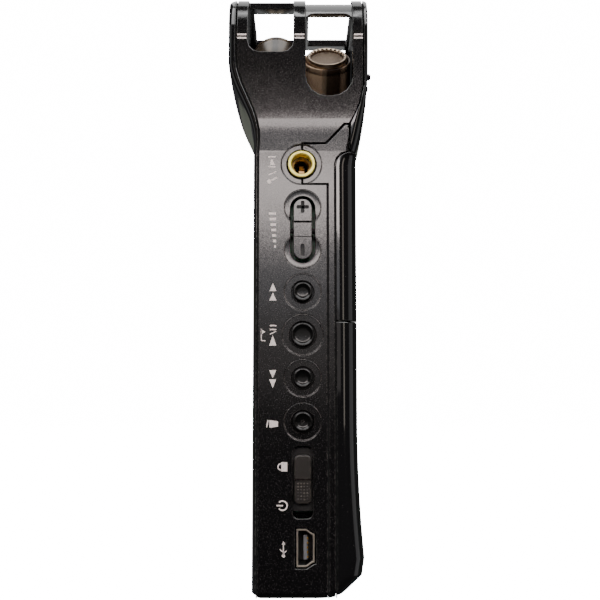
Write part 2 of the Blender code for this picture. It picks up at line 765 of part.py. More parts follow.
# ---------------------------------------------------------------- rear shell and the glossy back
def lap_cutter(name):
    """The space of the glossy back: everything behind its edge line except the shell's own core."""
    line = glossy_line(GAP)
    outline = [(FAR, -EPS), *line, (HEAD_SEAM_Y - GAP, HEIGHT), (FAR, HEIGHT)]
    cutter = prism(name, outline, "X", -FAR, FAR)
    core = case_copy(name + "_core", LAP, -EPS, HEIGHT - LAP, 2)
    cut(cutter, core)
    return cutter


def rear_shell():
    """Back half of the case, with the battery bay, stepped to carry the glossy back."""
    shell = add_object("rear_shell", case_mesh("rear_shell", 0.0, 0.0, HEIGHT), (BLACK_SATIN, 0.42))
    seam = behind_seam(GAP)
    front = [(-FAR, -EPS)] + seam[1:-1] + [(-FAR, HEIGHT + EPS)]
    cut(shell, prism("front_space", front, "X", -FAR, FAR))
    cut(shell, prism("head_back_space", [
        (HEAD_SEAM_Y - GAP, PANEL_TOP - GAP), (FAR, PANEL_TOP - GAP),
        (FAR, HEIGHT + EPS), (-FAR, HEIGHT + EPS), (-FAR, HEAD_SEAM_Z - GAP),
        (HEAD_SEAM_Y - GAP, HEAD_SEAM_Z - GAP)], "X", -FAR, FAR))
    cut(shell, case_copy("rear_room", LAP + WALL, WALL, HEAD_SEAM_Z - GAP - INNER_WALL, 2))
    bay_x = CELL_R + BAY_ROOM
    bay_front = CELL_Y - CELL_R - BAY_ROOM
    bay_back = BODY_BACK - LAP - WALL
    join(shell, box_cutter("bay_walls", (-bay_x - BAY_WALL, bay_front - BAY_WALL, BAY_LOW - BAY_WALL),
                           (bay_x + BAY_WALL, bay_back + WALL / 2, BAY_HIGH + BAY_WALL)))
    cut(shell, lap_cutter("glossy_space"))
    cut(shell, box_cutter("bay_inside", (-bay_x, bay_front, BAY_LOW), (bay_x, FAR, BAY_HIGH)))
    jack = circle_outline((JACK_Y, JACK_Z), JACK_BUSH_R + GAP)
    cut(shell, prism("jack_holes", jack, "X", -FAR, FAR))
    room_x, half = jack_body_face() + GAP, JACK_BODY_W / 2 + GAP
    cut(shell, box_cutter("jack_room", (-room_x, JACK_Y - half, JACK_Z - half),
                          (room_x, JACK_Y + half, JACK_Z + half)))
    cut(shell, prism("bush_hole", circle_outline((0, BUSH_Z), BUSH_R + GAP, 20), "Y", 0.0, FAR))
    cut(shell, prism("sound_hole", circle_outline((0, SPEAKER_Z), SPEAKER_R - WALL, 20), "Y", 0.0, FAR))
    for number, (x, z) in enumerate(case_screw_places()):
        cut(shell, prism("screw_hole_%d" % number, circle_outline((x, z), SCREW_SHANK + GAP, 10),
                         "Y", 0.0, FAR))
        cut(shell, prism("screw_sink_%d" % number, circle_outline((x, z), SCREW_HEAD + GAP, 12),
                         "Y", screw_seat(z) - GAP, FAR))
    return shell


def glossy_piece(name, low, high):
    """A length of the glossy back: a thin channel that wraps the rear corners."""
    piece = add_object(name, case_mesh(name, 0.0, 0.0, HEIGHT), (BLACK_GLOSS, 0.08))
    line = glossy_line(0.0)
    front = [(-FAR, -EPS), *line, (FAR, PANEL_TOP), (FAR, HEIGHT + EPS), (-FAR, HEIGHT + EPS)]
    cut(piece, prism(name + "_front_space", front, "X", -FAR, FAR))
    cut(piece, case_copy(name + "_inside", PANEL_THICK, -EPS, HEIGHT - PANEL_THICK, 2))
    cut(piece, box_cutter(name + "_below", (-FAR, -FAR, -EPS), (FAR, FAR, low)))
    if high < PANEL_TOP:
        cut(piece, box_cutter(name + "_above", (-FAR, -FAR, high), (FAR, FAR, HEIGHT + EPS)))
    return piece


def glossy_back():
    """The fixed rear panel with its holes, and the battery cover below it."""
    panel = glossy_piece("rear_panel", COVER_TOP + GAP, PANEL_TOP)
    cut(panel, prism("panel_bush_hole", circle_outline((0, BUSH_Z), BUSH_R + GAP, 20), "Y", 0.0, FAR))
    first = SPEAKER_Z - GRILLE_PITCH * (GRILLE_SLOTS - 1) / 2
    for number in range(GRILLE_SLOTS):
        z = first + GRILLE_PITCH * number
        off = abs(z - SPEAKER_Z) / (SPEAKER_R - WALL)
        length = GRILLE_SLOT_L * math.sqrt(max(1 - off * off, 0.1))
        slot = rounded_outline((0, z), length, GRILLE_SLOT_W, (GRILLE_SLOT_W * 0.45,) * 4, 2)
        cut(panel, prism("grille_slot_%d" % number, slot, "Y", 0.0, FAR))
    glossy_piece("battery_cover", COVER_BOTTOM, COVER_TOP)


def front_plate():
    """Glossy front, from the foot to the top of the head."""
    plate = add_object("front_plate", case_mesh("front_plate", 0.0, 0.0, HEIGHT), (BLACK_GLOSS, 0.08))
    rest = plate_line(0.0)[1:-1]
    cut(plate, prism("plate_rest", [(FAR, -EPS), *rest, (FAR, HEIGHT + EPS)], "X", -FAR, FAR))
    cut(plate, box_cutter("plate_foot", (-FAR, -FAR, -EPS), (FAR, FAR, PLATE_BOTTOM)))
    hole = screen_outline(0.0)
    cut(plate, prism("screen_hole", hole, "Y", -FAR, 0.0))
    cut(plate, prism("record_hole", circle_outline((0, RECORD_Z), RECORD_R + RUN, 24), "Y", -FAR, 0.0))
    cut(plate, prism("lamp_hole", circle_outline((0, LAMP_Z), LAMP_R + GAP, 12), "Y", -FAR, 0.0))
    return plate


def screen_outline(shrink):
    """Outline (x, z) of the screen's hole, or of the window with a shrink."""
    width = 2 * (SCREEN_HALF_W - shrink)
    height = 2 * (SCREEN_HALF_H - shrink)
    return rounded_outline((0, SCREEN_Z), width, height, (DISPLAY_MARGIN,) * 4, 3)


def head_rear_cover():
    """Glossy back of the head, with the slots of its three switches."""
    look = (BLACK_GLOSS, 0.08)
    cover = add_object("head_rear_cover", case_mesh("head_rear_cover", 0.0, 0.0, HEIGHT), look)
    front = [(-FAR, -EPS), (HEAD_SEAM_Y, -EPS), *head_line(0.0), (-FAR, HEIGHT + EPS)]
    cut(cover, prism("cover_front_space", front, "X", -FAR, FAR))
    cut(cover, box_cutter("cover_below", (-FAR, -FAR, -EPS), (FAR, FAR, PANEL_TOP + GAP)))
    for name, x in HEAD_SWITCHES:
        width = SWITCH_KNOB_L + SWITCH_TRAVEL + 2 * RUN
        height = SWITCH_KNOB_H + 2 * RUN
        hole = rounded_outline((x + SWITCH_TRAVEL / 2, SWITCH_Z), width, height, (GAP,) * 4, 1)
        cut(cover, prism(name + "_slot", hole, "Y", 0.0, FAR))
    return cover


# ---------------------------------------------------------------- head switches
HEAD_SWITCHES = (
    ("low_cut_switch", -SWITCH_SPACING),
    ("auto_level_switch", 0.0),
    ("format_switch", SWITCH_SPACING),
)


def switch_pocket(name, x):
    """Shallow pocket in the head's rear wall for a switch's foot."""
    reach = SWITCH_KNOB_L / 2 + SWITCH_FOOT + RUN
    return box_cutter(name + "_pocket",
                      (x - reach, HEAD_COVER_Y - GAP - SWITCH_POCKET, SWITCH_Z - SWITCH_KNOB_H),
                      (x + reach + SWITCH_TRAVEL, HEAD_COVER_Y + EPS, SWITCH_Z + SWITCH_KNOB_H))


def head_switch(name, x):
    """A slide switch's knob, with a foot that the cover holds in."""
    back = head_back_face() + SWITCH_PROUD
    base = HEAD_COVER_Y - GAP - SWITCH_POCKET + GAP
    profile = rounded_outline((0, 0), SWITCH_KNOB_L, SWITCH_KNOB_H, (SWITCH_KNOB_H * 0.45,) * 4, 2)
    small = [(u * 0.7, v * 0.7) for u, v in profile]
    levels = ((profile, base + GAP), (profile, back - GAP), (small, back))
    rings = [[(u, y - base, v) for u, v in outline] for outline, y in levels]
    knob = add_object(name, mesh_from_rings(name, rings, smooth=True), (BLACK_GLOSS, 0.25))
    reach = SWITCH_KNOB_L / 2 + SWITCH_FOOT
    foot_high = SWITCH_KNOB_H - RUN
    foot = box_cutter(name + "_foot", (-reach, 0, -foot_high), (reach, SWITCH_POCKET - GAP, foot_high))
    join(knob, foot)
    knob.location = (x, base, SWITCH_Z)
    foot.parent = knob
    return knob


def head_back_face():
    """Y of the head's domed back at the switches."""
    return back_depth(SWITCH_Z) + CROWN


# ---------------------------------------------------------------- buttons, rockers, slider
def side_button(name, z, hole_r):
    """A round cap in the right side, with a flange behind the wall."""
    radius = hole_r - RUN
    inner = -WALL - GAP
    proud = BUTTON_PROUD
    profile = (
        (radius + FLANGE, inner - BUTTON_STEM), (radius + FLANGE, inner), (radius, inner),
        (radius, proud * 0.3), (radius * 0.93, proud * 0.75), (radius * 0.7, proud),
    )
    button = add_object(name, turned_mesh(name, profile, 18), (BLACK_GLOSS, 0.15))
    button.rotation_euler = (0, math.radians(90), 0)
    button.location = (BODY_HALF_WIDTH, BUTTON_Y, z)
    return button


def rocker_pivot():
    """Distance of a rocker's cross pin from the middle plane."""
    return BODY_HALF_WIDTH - WALL - GAP - TRUNNION_R


def rocker(name, side):
    """A two-way rocker on a cross pin, its middle dished."""
    width = ROCKER_SLOT_W - 2 * ROCKER_ROOM
    length = ROCKER_SLOT_L - 2 * ROCKER_ROOM
    outline = slot_outline((0, 0), width, length, 5)
    small = slot_outline((0, 0), width * 0.8, length * 0.95, 5)
    outer = BODY_HALF_WIDTH + ROCKER_PROUD - rocker_pivot()
    levels = ((outline, outer - ROCKER_DEPTH), (outline, outer - GAP), (small, outer))
    rings = [[(side * x, u, v) for u, v in shape] for shape, x in levels]
    piece = add_object(name, mesh_from_rings(name, rings), (BLACK_GLOSS, 0.2))
    start, end = sorted((side * (outer - ROCKER_DIP), side * (outer + EPS)))
    dip = box_cutter(name + "_dip", (start, -width, -ROCKER_DIP_HALF), (end, width, ROCKER_DIP_HALF))
    reach = ROCKER_SLOT_W / 2 + TRUNNION_R
    pin = prism(name + "_pin", circle_outline((0, 0), TRUNNION_R, 10), "Y", -reach, reach)
    cut(piece, dip)
    join(piece, pin)
    for guide in (dip, pin):
        guide.parent = piece
    piece.location = (side * rocker_pivot(), BUTTON_Y, ROCKER_Z)
    return piece


def power_slider():
    """Sliding power and hold knob, with a carrier behind its slot."""
    width = POWER_SLOT_W - 2 * RUN
    middle = power_rest_z()
    outline = rounded_outline((0, 0), width, POWER_KNOB_L, (width * 0.3,) * 4, 3)
    small = rounded_outline((0, 0), width - 2 * GAP, POWER_KNOB_L - 2 * GAP, (width * 0.25,) * 4, 3)
    inner = -WALL - GAP
    levels = ((outline, inner), (outline, POWER_PROUD - GAP), (small, POWER_PROUD))
    rings = [[(x, u, v) for u, v in shape] for shape, x in levels]
    knob = add_object("power_slider", mesh_from_rings("power_slider", rings), (BLACK_GLOSS, 0.2))
    step = box_cutter("power_step", (POWER_PROUD - POWER_STEP, -width, -POWER_KNOB_L),
                      (POWER_PROUD + EPS, width, 0.0))
    reach = POWER_SLOT_W / 2 + CARRIER_OVERLAP
    half = POWER_KNOB_L / 2 + 2 * CARRIER_OVERLAP - GAP
    carrier = box_cutter("power_carrier", (inner - BUTTON_STEM, -reach, -half), (inner, reach, half))
    lift = box_cutter("power_lift", (inner - GAP, -width / 2 + GAP, -half + GAP),
                      (inner + GAP, width / 2 - GAP, half - GAP))
    cut(knob, step)
    join(knob, lift, carrier)
    for guide in (step, carrier, lift):
        guide.parent = knob
    knob.location = (BODY_HALF_WIDTH, BUTTON_Y, middle)
    return knob


def power_rest_z():
    """Middle of the power knob at rest."""
    return POWER_HIGH - POWER_KNOB_ROOM - POWER_UP - POWER_KNOB_L / 2


def record_flange_back():
    """Y of the rear face of the record button's flange."""
    return -BODY_FRONT + FRONT_EDGE + GAP + RECORD_FLANGE


def record_button():
    """Large round button on the front, held in by the front plate."""
    back = record_flange_back() + BODY_FRONT
    front = back - RECORD_FLANGE
    proud = RECORD_PROUD + CROWN
    profile = (
        (RECORD_R + FLANGE, -back), (RECORD_R + FLANGE, -front), (RECORD_R, -front),
        (RECORD_R, proud * 0.4), (RECORD_R * 0.93, proud * 0.8), (RECORD_R * 0.75, proud),
        (RECORD_R * 0.4, proud * 0.85),
    )
    mesh = turned_mesh("record_button", profile, 28)
    button = add_object("record_button", mesh, (RED, 0.3))
    button.rotation_euler = (math.radians(90), 0, 0)
    button.location = (0, -BODY_FRONT, RECORD_Z)
    return button


# ---------------------------------------------------------------- sockets
def jack_body_face():
    """Distance of a jack body's outer face from the middle plane."""
    return BODY_HALF_WIDTH - WALL - 3 * GAP


def jack(name, side):
    """A gold bush in the wall and the plastic jack behind it."""
    bush_inner = WALL + 2 * GAP
    profile = (
        (JACK_BUSH_R, -bush_inner), (JACK_BUSH_R, JACK_PROUD * 0.5), (JACK_BUSH_R - GAP, JACK_PROUD),
    )
    bush = add_object(name + "_bush", turned_mesh(name + "_bush", profile, 24), (GOLD, 0.25, 1.0))
    bore = add_guide(name + "_bush_bore", turned_mesh(name + "_bush_bore", (
        (JACK_BUSH_BORE, -bush_inner - EPS), (JACK_BUSH_BORE, 0.0),
        (JACK_BUSH_BORE + EPS / 2, JACK_PROUD + EPS / 2)), 24))
    cut(bush, bore)
    bore.parent = bush
    bush.rotation_euler = (0, math.radians(90 * side), 0)
    bush.location = (side * BODY_HALF_WIDTH, JACK_Y, JACK_Z)
    outer = jack_body_face()
    half = JACK_BODY_W / 2
    x_low, x_high = sorted((side * outer, side * (outer - JACK_BODY_L)))
    body = box_object(name + "_jack", (x_low, JACK_Y - half, JACK_Z - half),
                      (x_high, JACK_Y + half, JACK_Z + half), (MATTE_DARK, 0.5))
    start, end = sorted((side * (outer + EPS), side * (outer - JACK_BODY_L + WALL)))
    cut(body, prism(name + "_bore", circle_outline((JACK_Y, JACK_Z), JACK_BORE, 16), "X", start, end))
    return bush


def usb_port():
    """Steel socket shell, open at the side, and the contact tongue inside it."""
    outer = BODY_HALF_WIDTH - GAP
    back = outer - USB_DEPTH
    shell = add_object("usb_shell", extrude_mesh("usb_shell", usb_outline(USB_W, USB_L), "X", back, outer),
                       (STEEL, 0.3, 1.0))
    cut(shell, prism("usb_inside", usb_outline(USB_W - 2 * USB_WALL, USB_L - 2 * USB_WALL), "X",
                     back + USB_WALL, outer + EPS))
    half = USB_L * 0.32
    box_object("usb_tongue", (back + USB_WALL + GAP, USB_Y - USB_TONGUE / 2, USB_Z - half),
               (outer - EPS, USB_Y + USB_TONGUE / 2, USB_Z + half), (MATTE_DARK, 0.5))


def card_slot():
    """Hinged door in the left side, the card socket behind it and the card."""
    hinge_z = DOOR_Z - DOOR_L / 2 + DOOR_THICK / 2
    x_axis = -BODY_HALF_WIDTH + DOOR_THICK / 2
    hinge_r = DOOR_THICK * 0.48
    outline = rounded_outline((0, DOOR_L / 2 - DOOR_THICK / 2), DOOR_THICK, DOOR_L,
                              (hinge_r, GAP / 2, GAP / 2, hinge_r), 3)
    door = prism_object("card_door", outline, "Y", -DOOR_W / 2, DOOR_W / 2, (BLACK_SATIN, 0.42))
    door.location = (x_axis, DOOR_Y, hinge_z)
    front = board_rear_face() + GAP
    inner = -BODY_HALF_WIDTH + WALL + GAP
    socket = box_object("card_socket", (inner, front, DOOR_Z - SOCKET_H / 2),
                        (inner + SOCKET_L, front + SOCKET_THICK, DOOR_Z + SOCKET_H / 2), (STEEL, 0.3, 1.0))
    card_front = front + (SOCKET_THICK - CARD_THICK) / 2
    card_low = DOOR_Z - CARD_H / 2
    card_back = card_front + CARD_THICK
    cut(socket, box_cutter("card_mouth", (inner - EPS, card_front - GAP, card_low - GAP),
                           (inner + SOCKET_L - WALL / 2, card_back + GAP, card_low + CARD_H + GAP)))
    card_start = inner - CARD_SHOWS + GAP
    box_object("memory_card", (card_start, card_front, card_low),
               (inner + SOCKET_L - WALL, card_back, card_low + CARD_H), (MATTE_DARK, 0.4))


def strap_pin():
    """Steel pin across the strap slot at the foot of the left side."""
    half = STRAP_DEPTH / 2 - GAP
    x = -BODY_HALF_WIDTH + WALL / 2
    prism_object("strap_pin", circle_outline((x, STRAP_Z), STRAP_PIN_R - GAP / 2, 12), "Y",
                 BUTTON_Y - half, BUTTON_Y + half, (STEEL, 0.25, 1.0))


def prism_object(name, outline, axis, start, end, look):
    """An extruded piece."""
    return add_object(name, extrude_mesh(name, outline, axis, start, end), look)


# ---------------------------------------------------------------- microphones
MICROPHONES = (("front", MIC_FRONT_Y, -1), ("rear", MIC_REAR_Y, 1))


def tilt_microphone(thing, y, side):
    """Stand a piece turned about Z on a capsule's rim, leaning to one side."""
    thing.rotation_euler = (0, side * MIC_TILT, 0)
    thing.location = (side * MIC_X, y, MIC_Z)


def sleeve_room(label, y, side):
    """Clearance for a sleeve in the bay's walls."""
    radius = SLEEVE_R + GAP
    profile = ((radius, -SLEEVE_SET_BACK - SLEEVE_LENGTH - GAP), (radius, GAP))
    room = add_guide(label + "_sleeve_room", turned_mesh(label + "_sleeve_room", profile, 20))
    tilt_microphone(room, y, side)
    return room


def microphone(label, y, side):
    """Metal sleeve, the capsule in it and the grille in the capsule's mouth."""
    back = -SLEEVE_SET_BACK - SLEEVE_LENGTH
    bore = SLEEVE_R - SLEEVE_WALL
    sleeve_name = "mic_sleeve_" + label
    profile = (
        (SLEEVE_R - GAP, back), (SLEEVE_R, back + GAP),
        (SLEEVE_R, -SLEEVE_SET_BACK - GAP), (SLEEVE_R - GAP, -SLEEVE_SET_BACK),
    )
    sleeve = add_object(sleeve_name, turned_mesh(sleeve_name, profile, 28), (BRONZE, 0.25, 1.0))
    inside = add_guide(sleeve_name + "_bore", turned_mesh(sleeve_name + "_bore", (
        (bore, back + SLEEVE_WALL), (bore, EPS)), 28))
    cut(sleeve, inside)
    inside.parent = sleeve
    tilt_microphone(sleeve, y, side)
    capsule_name = "mic_capsule_" + label
    body = bore - GAP
    profile = (
        (body, -CAPSULE_DEPTH), (body, -SLEEVE_SET_BACK + GAP), (CAPSULE_RIM_R, -SLEEVE_SET_BACK / 2),
        (CAPSULE_RIM_R, -GAP), (CAPSULE_RIM_R - GAP, 0.0),
    )
    capsule = add_object(capsule_name, turned_mesh(capsule_name, profile, 28), (BRONZE, 0.25, 1.0))
    depth = GRILLE_SET_BACK + GRILLE_THICK + GAP
    mouth = add_guide(capsule_name + "_mouth", turned_mesh(capsule_name + "_mouth", (
        (GRILLE_R, -depth), (GRILLE_R, EPS)), 28))
    cut(capsule, mouth)
    mouth.parent = capsule
    tilt_microphone(capsule, y, side)
    grille_name = "mic_grille_" + label
    profile = ((GRILLE_R - GAP, -GRILLE_SET_BACK - GRILLE_THICK), (GRILLE_R - GAP, -GRILLE_SET_BACK))
    grille = add_object(grille_name, turned_mesh(grille_name, profile, 28), (BRONZE, 0.4, 1.0))
    tilt_microphone(grille, y, side)


def mic_cradle():
    """Block on the bay's floor that carries both sleeves."""
    low = BAY_FLOOR_Z + BAY_FLOOR + GAP
    front = MIC_FRONT_Y - SLEEVE_R * 0.4
    back = MIC_REAR_Y + SLEEVE_R * 0.4
    cradle = box_object("mic_cradle", (-CRADLE_HALF_WIDTH, front, low),
                        (CRADLE_HALF_WIDTH, back, low + CRADLE_HEIGHT), (MATTE_DARK, 0.7))
    for label, y, side in MICROPHONES:
        room = sleeve_room("cradle_" + label, y, side)
        cut(cradle, room)
    return cradle


# ---------------------------------------------------------------- display, boards, switches
def display():
    """Window in the front plate and the display behind it."""
    reach = SCREEN_HALF_H + EPS
    mesh = case_mesh("display_window", 0.0, SCREEN_Z - reach, SCREEN_Z + reach)
    window = add_object("display_window", mesh, (LENS_DARK, 0.05))
    keep = prism("window_keep", screen_outline(GAP), "Y", -FAR, -BODY_FRONT + FRONT_EDGE)
    combine(window, keep, "INTERSECT")
    rear = front_inner_face()
    half_w = SCREEN_HALF_W - DISPLAY_MARGIN
    half_h = SCREEN_HALF_H - DISPLAY_MARGIN
    box_object("display_module", (-half_w, rear - INNER_WALL, SCREEN_Z - half_h),
               (half_w, rear, SCREEN_Z + half_h), (LCD_GREY, 0.3))
    lamp_front = -BODY_FRONT - CROWN
    prism_object("record_lamp", circle_outline((0, LAMP_Z), LAMP_R, 12), "Y", lamp_front, rear, (RED, 0.2))


def main_board():
    """Main circuit board, upright behind the front wall."""
    front = board_rear_face() - BOARD_THICK
    board = box_object("main_board", (-BOARD_HALF_W, front, BOARD_LOW),
                       (BOARD_HALF_W, front + BOARD_THICK, BOARD_HIGH), (BOARD_GREEN, 0.5))
    holes = [(place, SCREW_SHANK, 10) for place in board_screw_places()]
    holes += [(place, BOSS_R, 12) for place in case_screw_places()]
    for number, (place, radius, segments) in enumerate(holes):
        hole = circle_outline(place, radius + GAP, segments)
        cut(board, prism("board_hole_%d" % number, hole, "Y", -FAR, FAR))


def side_boards():
    """A small board behind the controls of each side."""
    front = board_rear_face() + GAP
    for name, side in (("key_board", 1), ("volume_board", -1)):
        low = SIDE_BOARD_LOW if side > 0 else DOOR_Z + SOCKET_H / 2 + GAP
        box_object(name, (side * SIDE_BOARD_X, front, low),
                   (side * (SIDE_BOARD_X - BOARD_THICK), SIDE_BOARD_BACK, SIDE_BOARD_HIGH),
                   (BOARD_GREEN, 0.5))


def box_object(name, low, high, look):
    """A box-shaped piece between two corners given in any order."""
    ends = [sorted(pair) for pair in zip(low, high)]
    corners = [[pair[i] for pair in ends] for i in (0, 1)]
    return add_object(name, box_mesh(name, *corners), look)


def key_switches():
    """Tact switches behind the four keys, each rocker and the record button."""
    start = SIDE_BOARD_X + GAP
    half = SWITCH_W / 2
    outer = BODY_HALF_WIDTH - WALL - 2 * GAP - BUTTON_STEM - BUTTON_TRAVEL
    for name, z, _ in BUTTONS:
        box_object(name.replace("button", "key_switch"), (start, BUTTON_Y - half, z - half),
                   (outer, BUTTON_Y + half, z + half), (STEEL, 0.35, 1.0))
    outer = BODY_HALF_WIDTH + ROCKER_PROUD - ROCKER_DEPTH - BUTTON_TRAVEL - GAP
    lift = (ROCKER_SLOT_L - ROCKER_SLOT_W) / 2
    for name, side in (("level_key_switch", 1), ("volume_key_switch", -1)):
        box_object(name, (side * start, BUTTON_Y - half, ROCKER_Z - lift),
                   (side * outer, BUTTON_Y + half, ROCKER_Z + lift), (STEEL, 0.35, 1.0))
    half = LONG_SWITCH_W / 2
    box_object("record_key_switch", (-half, record_flange_back() + RECORD_TRAVEL + GAP, RECORD_Z - half),
               (half, front_inner_face(), RECORD_Z + half), (STEEL, 0.35, 1.0))


def power_switch():
    """Slide-switch body that the power knob moves."""
    outer = BODY_HALF_WIDTH - WALL - 2 * GAP - BUTTON_STEM
    half = LONG_SWITCH_W / 2
    middle = (POWER_LOW + POWER_HIGH) / 2
    box_object("power_switch", (SIDE_BOARD_X + GAP, BUTTON_Y - half, middle - LONG_SWITCH_W),
               (outer, BUTTON_Y + half, middle + LONG_SWITCH_W), (STEEL, 0.35, 1.0))


# ---------------------------------------------------------------- battery and its contacts
def battery():
    """One AA cell in its bay, with the contact plates and the coil spring."""
    low = BAY_LOW + 3 * GAP + CONTACT_THICK + SPRING_LENGTH
    top = CELL_LENGTH
    nub = top - CELL_NUB
    nub_r = CELL_R * 0.38
    profile = (
        (CELL_R * 0.8, 0.0), (CELL_R, GAP), (CELL_R, nub - GAP), (CELL_R * 0.95, nub),
        (nub_r, nub), (nub_r, top),
    )
    cell = add_object("battery_cell", turned_mesh("battery_cell", profile, 24), (CELL_GREY, 0.3, 0.8))
    cell.location = (0, CELL_Y, low)
    reach = CELL_R * 0.8
    for name, z in (("negative_contact", BAY_LOW + GAP), ("positive_contact", low + CELL_LENGTH + GAP)):
        box_object(name, (-reach, CELL_Y - reach, z), (reach, CELL_Y + reach, z + CONTACT_THICK),
                   (STEEL, 0.3, 1.0))
    battery_spring(BAY_LOW + 2 * GAP + CONTACT_THICK)


def battery_spring(low):
    """Conical coil spring under the cell."""
    turns, steps = 3, 10
    wide, narrow = CELL_R * 0.62, CELL_R * 0.34
    curve = bpy.data.curves.new("battery_spring", "CURVE")
    curve.dimensions = "3D"
    curve.bevel_depth = SPRING_WIRE
    curve.bevel_resolution = 1
    curve.use_fill_caps = True
    spline = curve.splines.new("POLY")
    count = turns * steps + 1
    spline.points.add(count - 1)
    for i in range(count):
        share = i / (count - 1)
        angle = 2 * math.pi * i / steps
        radius = wide + (narrow - wide) * share
        z = low + SPRING_WIRE + (SPRING_LENGTH - 2 * SPRING_WIRE) * share
        spline.points[i].co = (radius * math.cos(angle), CELL_Y + radius * math.sin(angle), z, 1.0)
    curve.materials.append(finish("battery_spring_finish", STEEL, 0.25, 1.0))
    spring = bpy.data.objects.new("battery_spring", curve)
    bpy.context.scene.collection.objects.link(spring)


# ---------------------------------------------------------------- tripod bush, speaker, screws
def tripod_bush():
    """Threaded bush in the back, blind, flush with the rear panel."""
    back = back_depth(BUSH_Z)
    start = back - BUSH_DEPTH - BUSH_FLOOR
    bush = prism_object("tripod_bush", circle_outline((0, BUSH_Z), BUSH_R, 24), "Y", start, back,
                        (STEEL, 0.3, 1.0))
    cut(bush, prism("bush_bore", circle_outline((0, BUSH_Z), BUSH_BORE, 24), "Y", back - BUSH_DEPTH, FAR))


def speaker():
    """Round speaker behind the grille, its cone towards the back."""
    back = BODY_BACK - LAP - WALL - GAP
    radius = SPEAKER_R
    profile = (
        (radius * 0.6, -SPEAKER_THICK), (radius * 0.9, -SPEAKER_THICK * 0.6),
        (radius, -SPEAKER_THICK * 0.4), (radius, 0.0), (radius * 0.8, 0.0),
        (radius * 0.35, -SPEAKER_THICK * 0.35),
    )
    mesh = turned_mesh("speaker", profile, 20)
    thing = add_object("speaker", mesh, (MATTE_DARK, 0.6))
    thing.rotation_euler = (math.radians(-90), 0, 0)
    thing.location = (0, back, SPEAKER_Z)


def screw(name, x, y, z, length):
    """A pan-head screw, its head towards the back."""
    profile = (
        (SCREW_SHANK, -length), (SCREW_SHANK, 0.0), (SCREW_HEAD, 0.0),
        (SCREW_HEAD, SCREW_HEAD_H * 0.6), (SCREW_HEAD * 0.7, SCREW_HEAD_H),
    )
    thing = add_object(name, turned_mesh(name, profile, 10), (STEEL, 0.3, 1.0))
    thing.rotation_euler = (math.radians(-90), 0, 0)
    thing.location = (x, y, z)


def screws():
    """Case screws through the rear shell and board screws through the main board."""
    for number, (x, z) in enumerate(case_screw_places(), 1):
        seat = screw_seat(z)
        length = seat - post_end(z) + CASE_SCREW_BITE - 2 * GAP
        screw("case_screw_%d" % number, x, seat, z, length)
    for number, (x, z) in enumerate(board_screw_places(), 1):
        seat = board_rear_face() + GAP
        screw("board_screw_%d" % number, x, seat, z, BOARD_THICK + 2 * GAP + INNER_WALL / 2)


def screw_seat(z):
    """Y of the sunk face that a case screw's head lies on."""
    wall_face = back_depth(z) - LAP if z < PANEL_TOP else HEAD_SEAM_Y - GAP
    return wall_face - SCREW_HEAD_H


def main():
    """Build every sub-part."""
    clear_scene()
    front_shell()
    rear_shell()
    glossy_back()
    front_plate()
    head_rear_cover()
    for name, x in HEAD_SWITCHES:
        head_switch(name, x)
    for name, z, radius in BUTTONS:
        side_button(name, z, radius)
    rocker("level_rocker", 1)
    rocker("volume_rocker", -1)
    power_slider()
    record_button()
    jack("line_in", 1)
    jack("phones", -1)
    usb_port()
    card_slot()
    strap_pin()
    for label, y, side in MICROPHONES:
        microphone(label, y, side)
    mic_cradle()
    display()
    main_board()
    side_boards()
    key_switches()
    power_switch()
    battery()
    tripod_bush()
    speaker()
    screws()


main()
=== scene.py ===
"""Looks of a hand-held stereo recorder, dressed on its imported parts. Metres, +Z up, front -Y, keys +X."""

import math

import bmesh
import bpy
import numpy as np
from mathutils import Matrix, Vector


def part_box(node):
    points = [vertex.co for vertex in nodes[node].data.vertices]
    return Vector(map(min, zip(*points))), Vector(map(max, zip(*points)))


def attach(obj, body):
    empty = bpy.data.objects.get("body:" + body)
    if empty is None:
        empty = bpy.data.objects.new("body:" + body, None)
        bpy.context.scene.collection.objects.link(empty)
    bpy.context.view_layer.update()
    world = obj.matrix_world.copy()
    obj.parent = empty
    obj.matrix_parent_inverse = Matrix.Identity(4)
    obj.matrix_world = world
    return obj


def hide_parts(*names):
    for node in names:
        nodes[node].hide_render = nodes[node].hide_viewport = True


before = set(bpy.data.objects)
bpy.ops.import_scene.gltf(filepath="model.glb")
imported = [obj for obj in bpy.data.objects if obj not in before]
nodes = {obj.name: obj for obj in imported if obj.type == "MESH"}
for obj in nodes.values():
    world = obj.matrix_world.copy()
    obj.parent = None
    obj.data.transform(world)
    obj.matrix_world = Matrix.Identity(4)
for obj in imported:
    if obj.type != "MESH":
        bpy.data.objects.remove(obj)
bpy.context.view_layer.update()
CASE = "recorder_case"


# ---------------------------------------------------------------- studio
# A white table that is seen but not mirrored, soft strips and boxes of light round it, and a white
# room behind. The camera stands low beside the keys, tipped up.
CAMERA_PLACE = (0.232, 0.0002, 0.0429)
CAMERA_TIP = 6.0
PHOTO_FOCAL_PX = 950
PHOTO_WIDTH_PX = 600
SENSOR_MM = 36.0

camera_data = bpy.data.cameras.new("studio_camera")
camera_data.sensor_width = SENSOR_MM
camera_data.lens = PHOTO_FOCAL_PX / PHOTO_WIDTH_PX * SENSOR_MM
camera_data.clip_start = 0.01
camera = bpy.data.objects.new("studio_camera", camera_data)
bpy.context.scene.collection.objects.link(camera)
camera.location = CAMERA_PLACE
camera.rotation_euler = (math.radians(90 + CAMERA_TIP), 0, math.radians(90))
bpy.context.scene.camera = camera


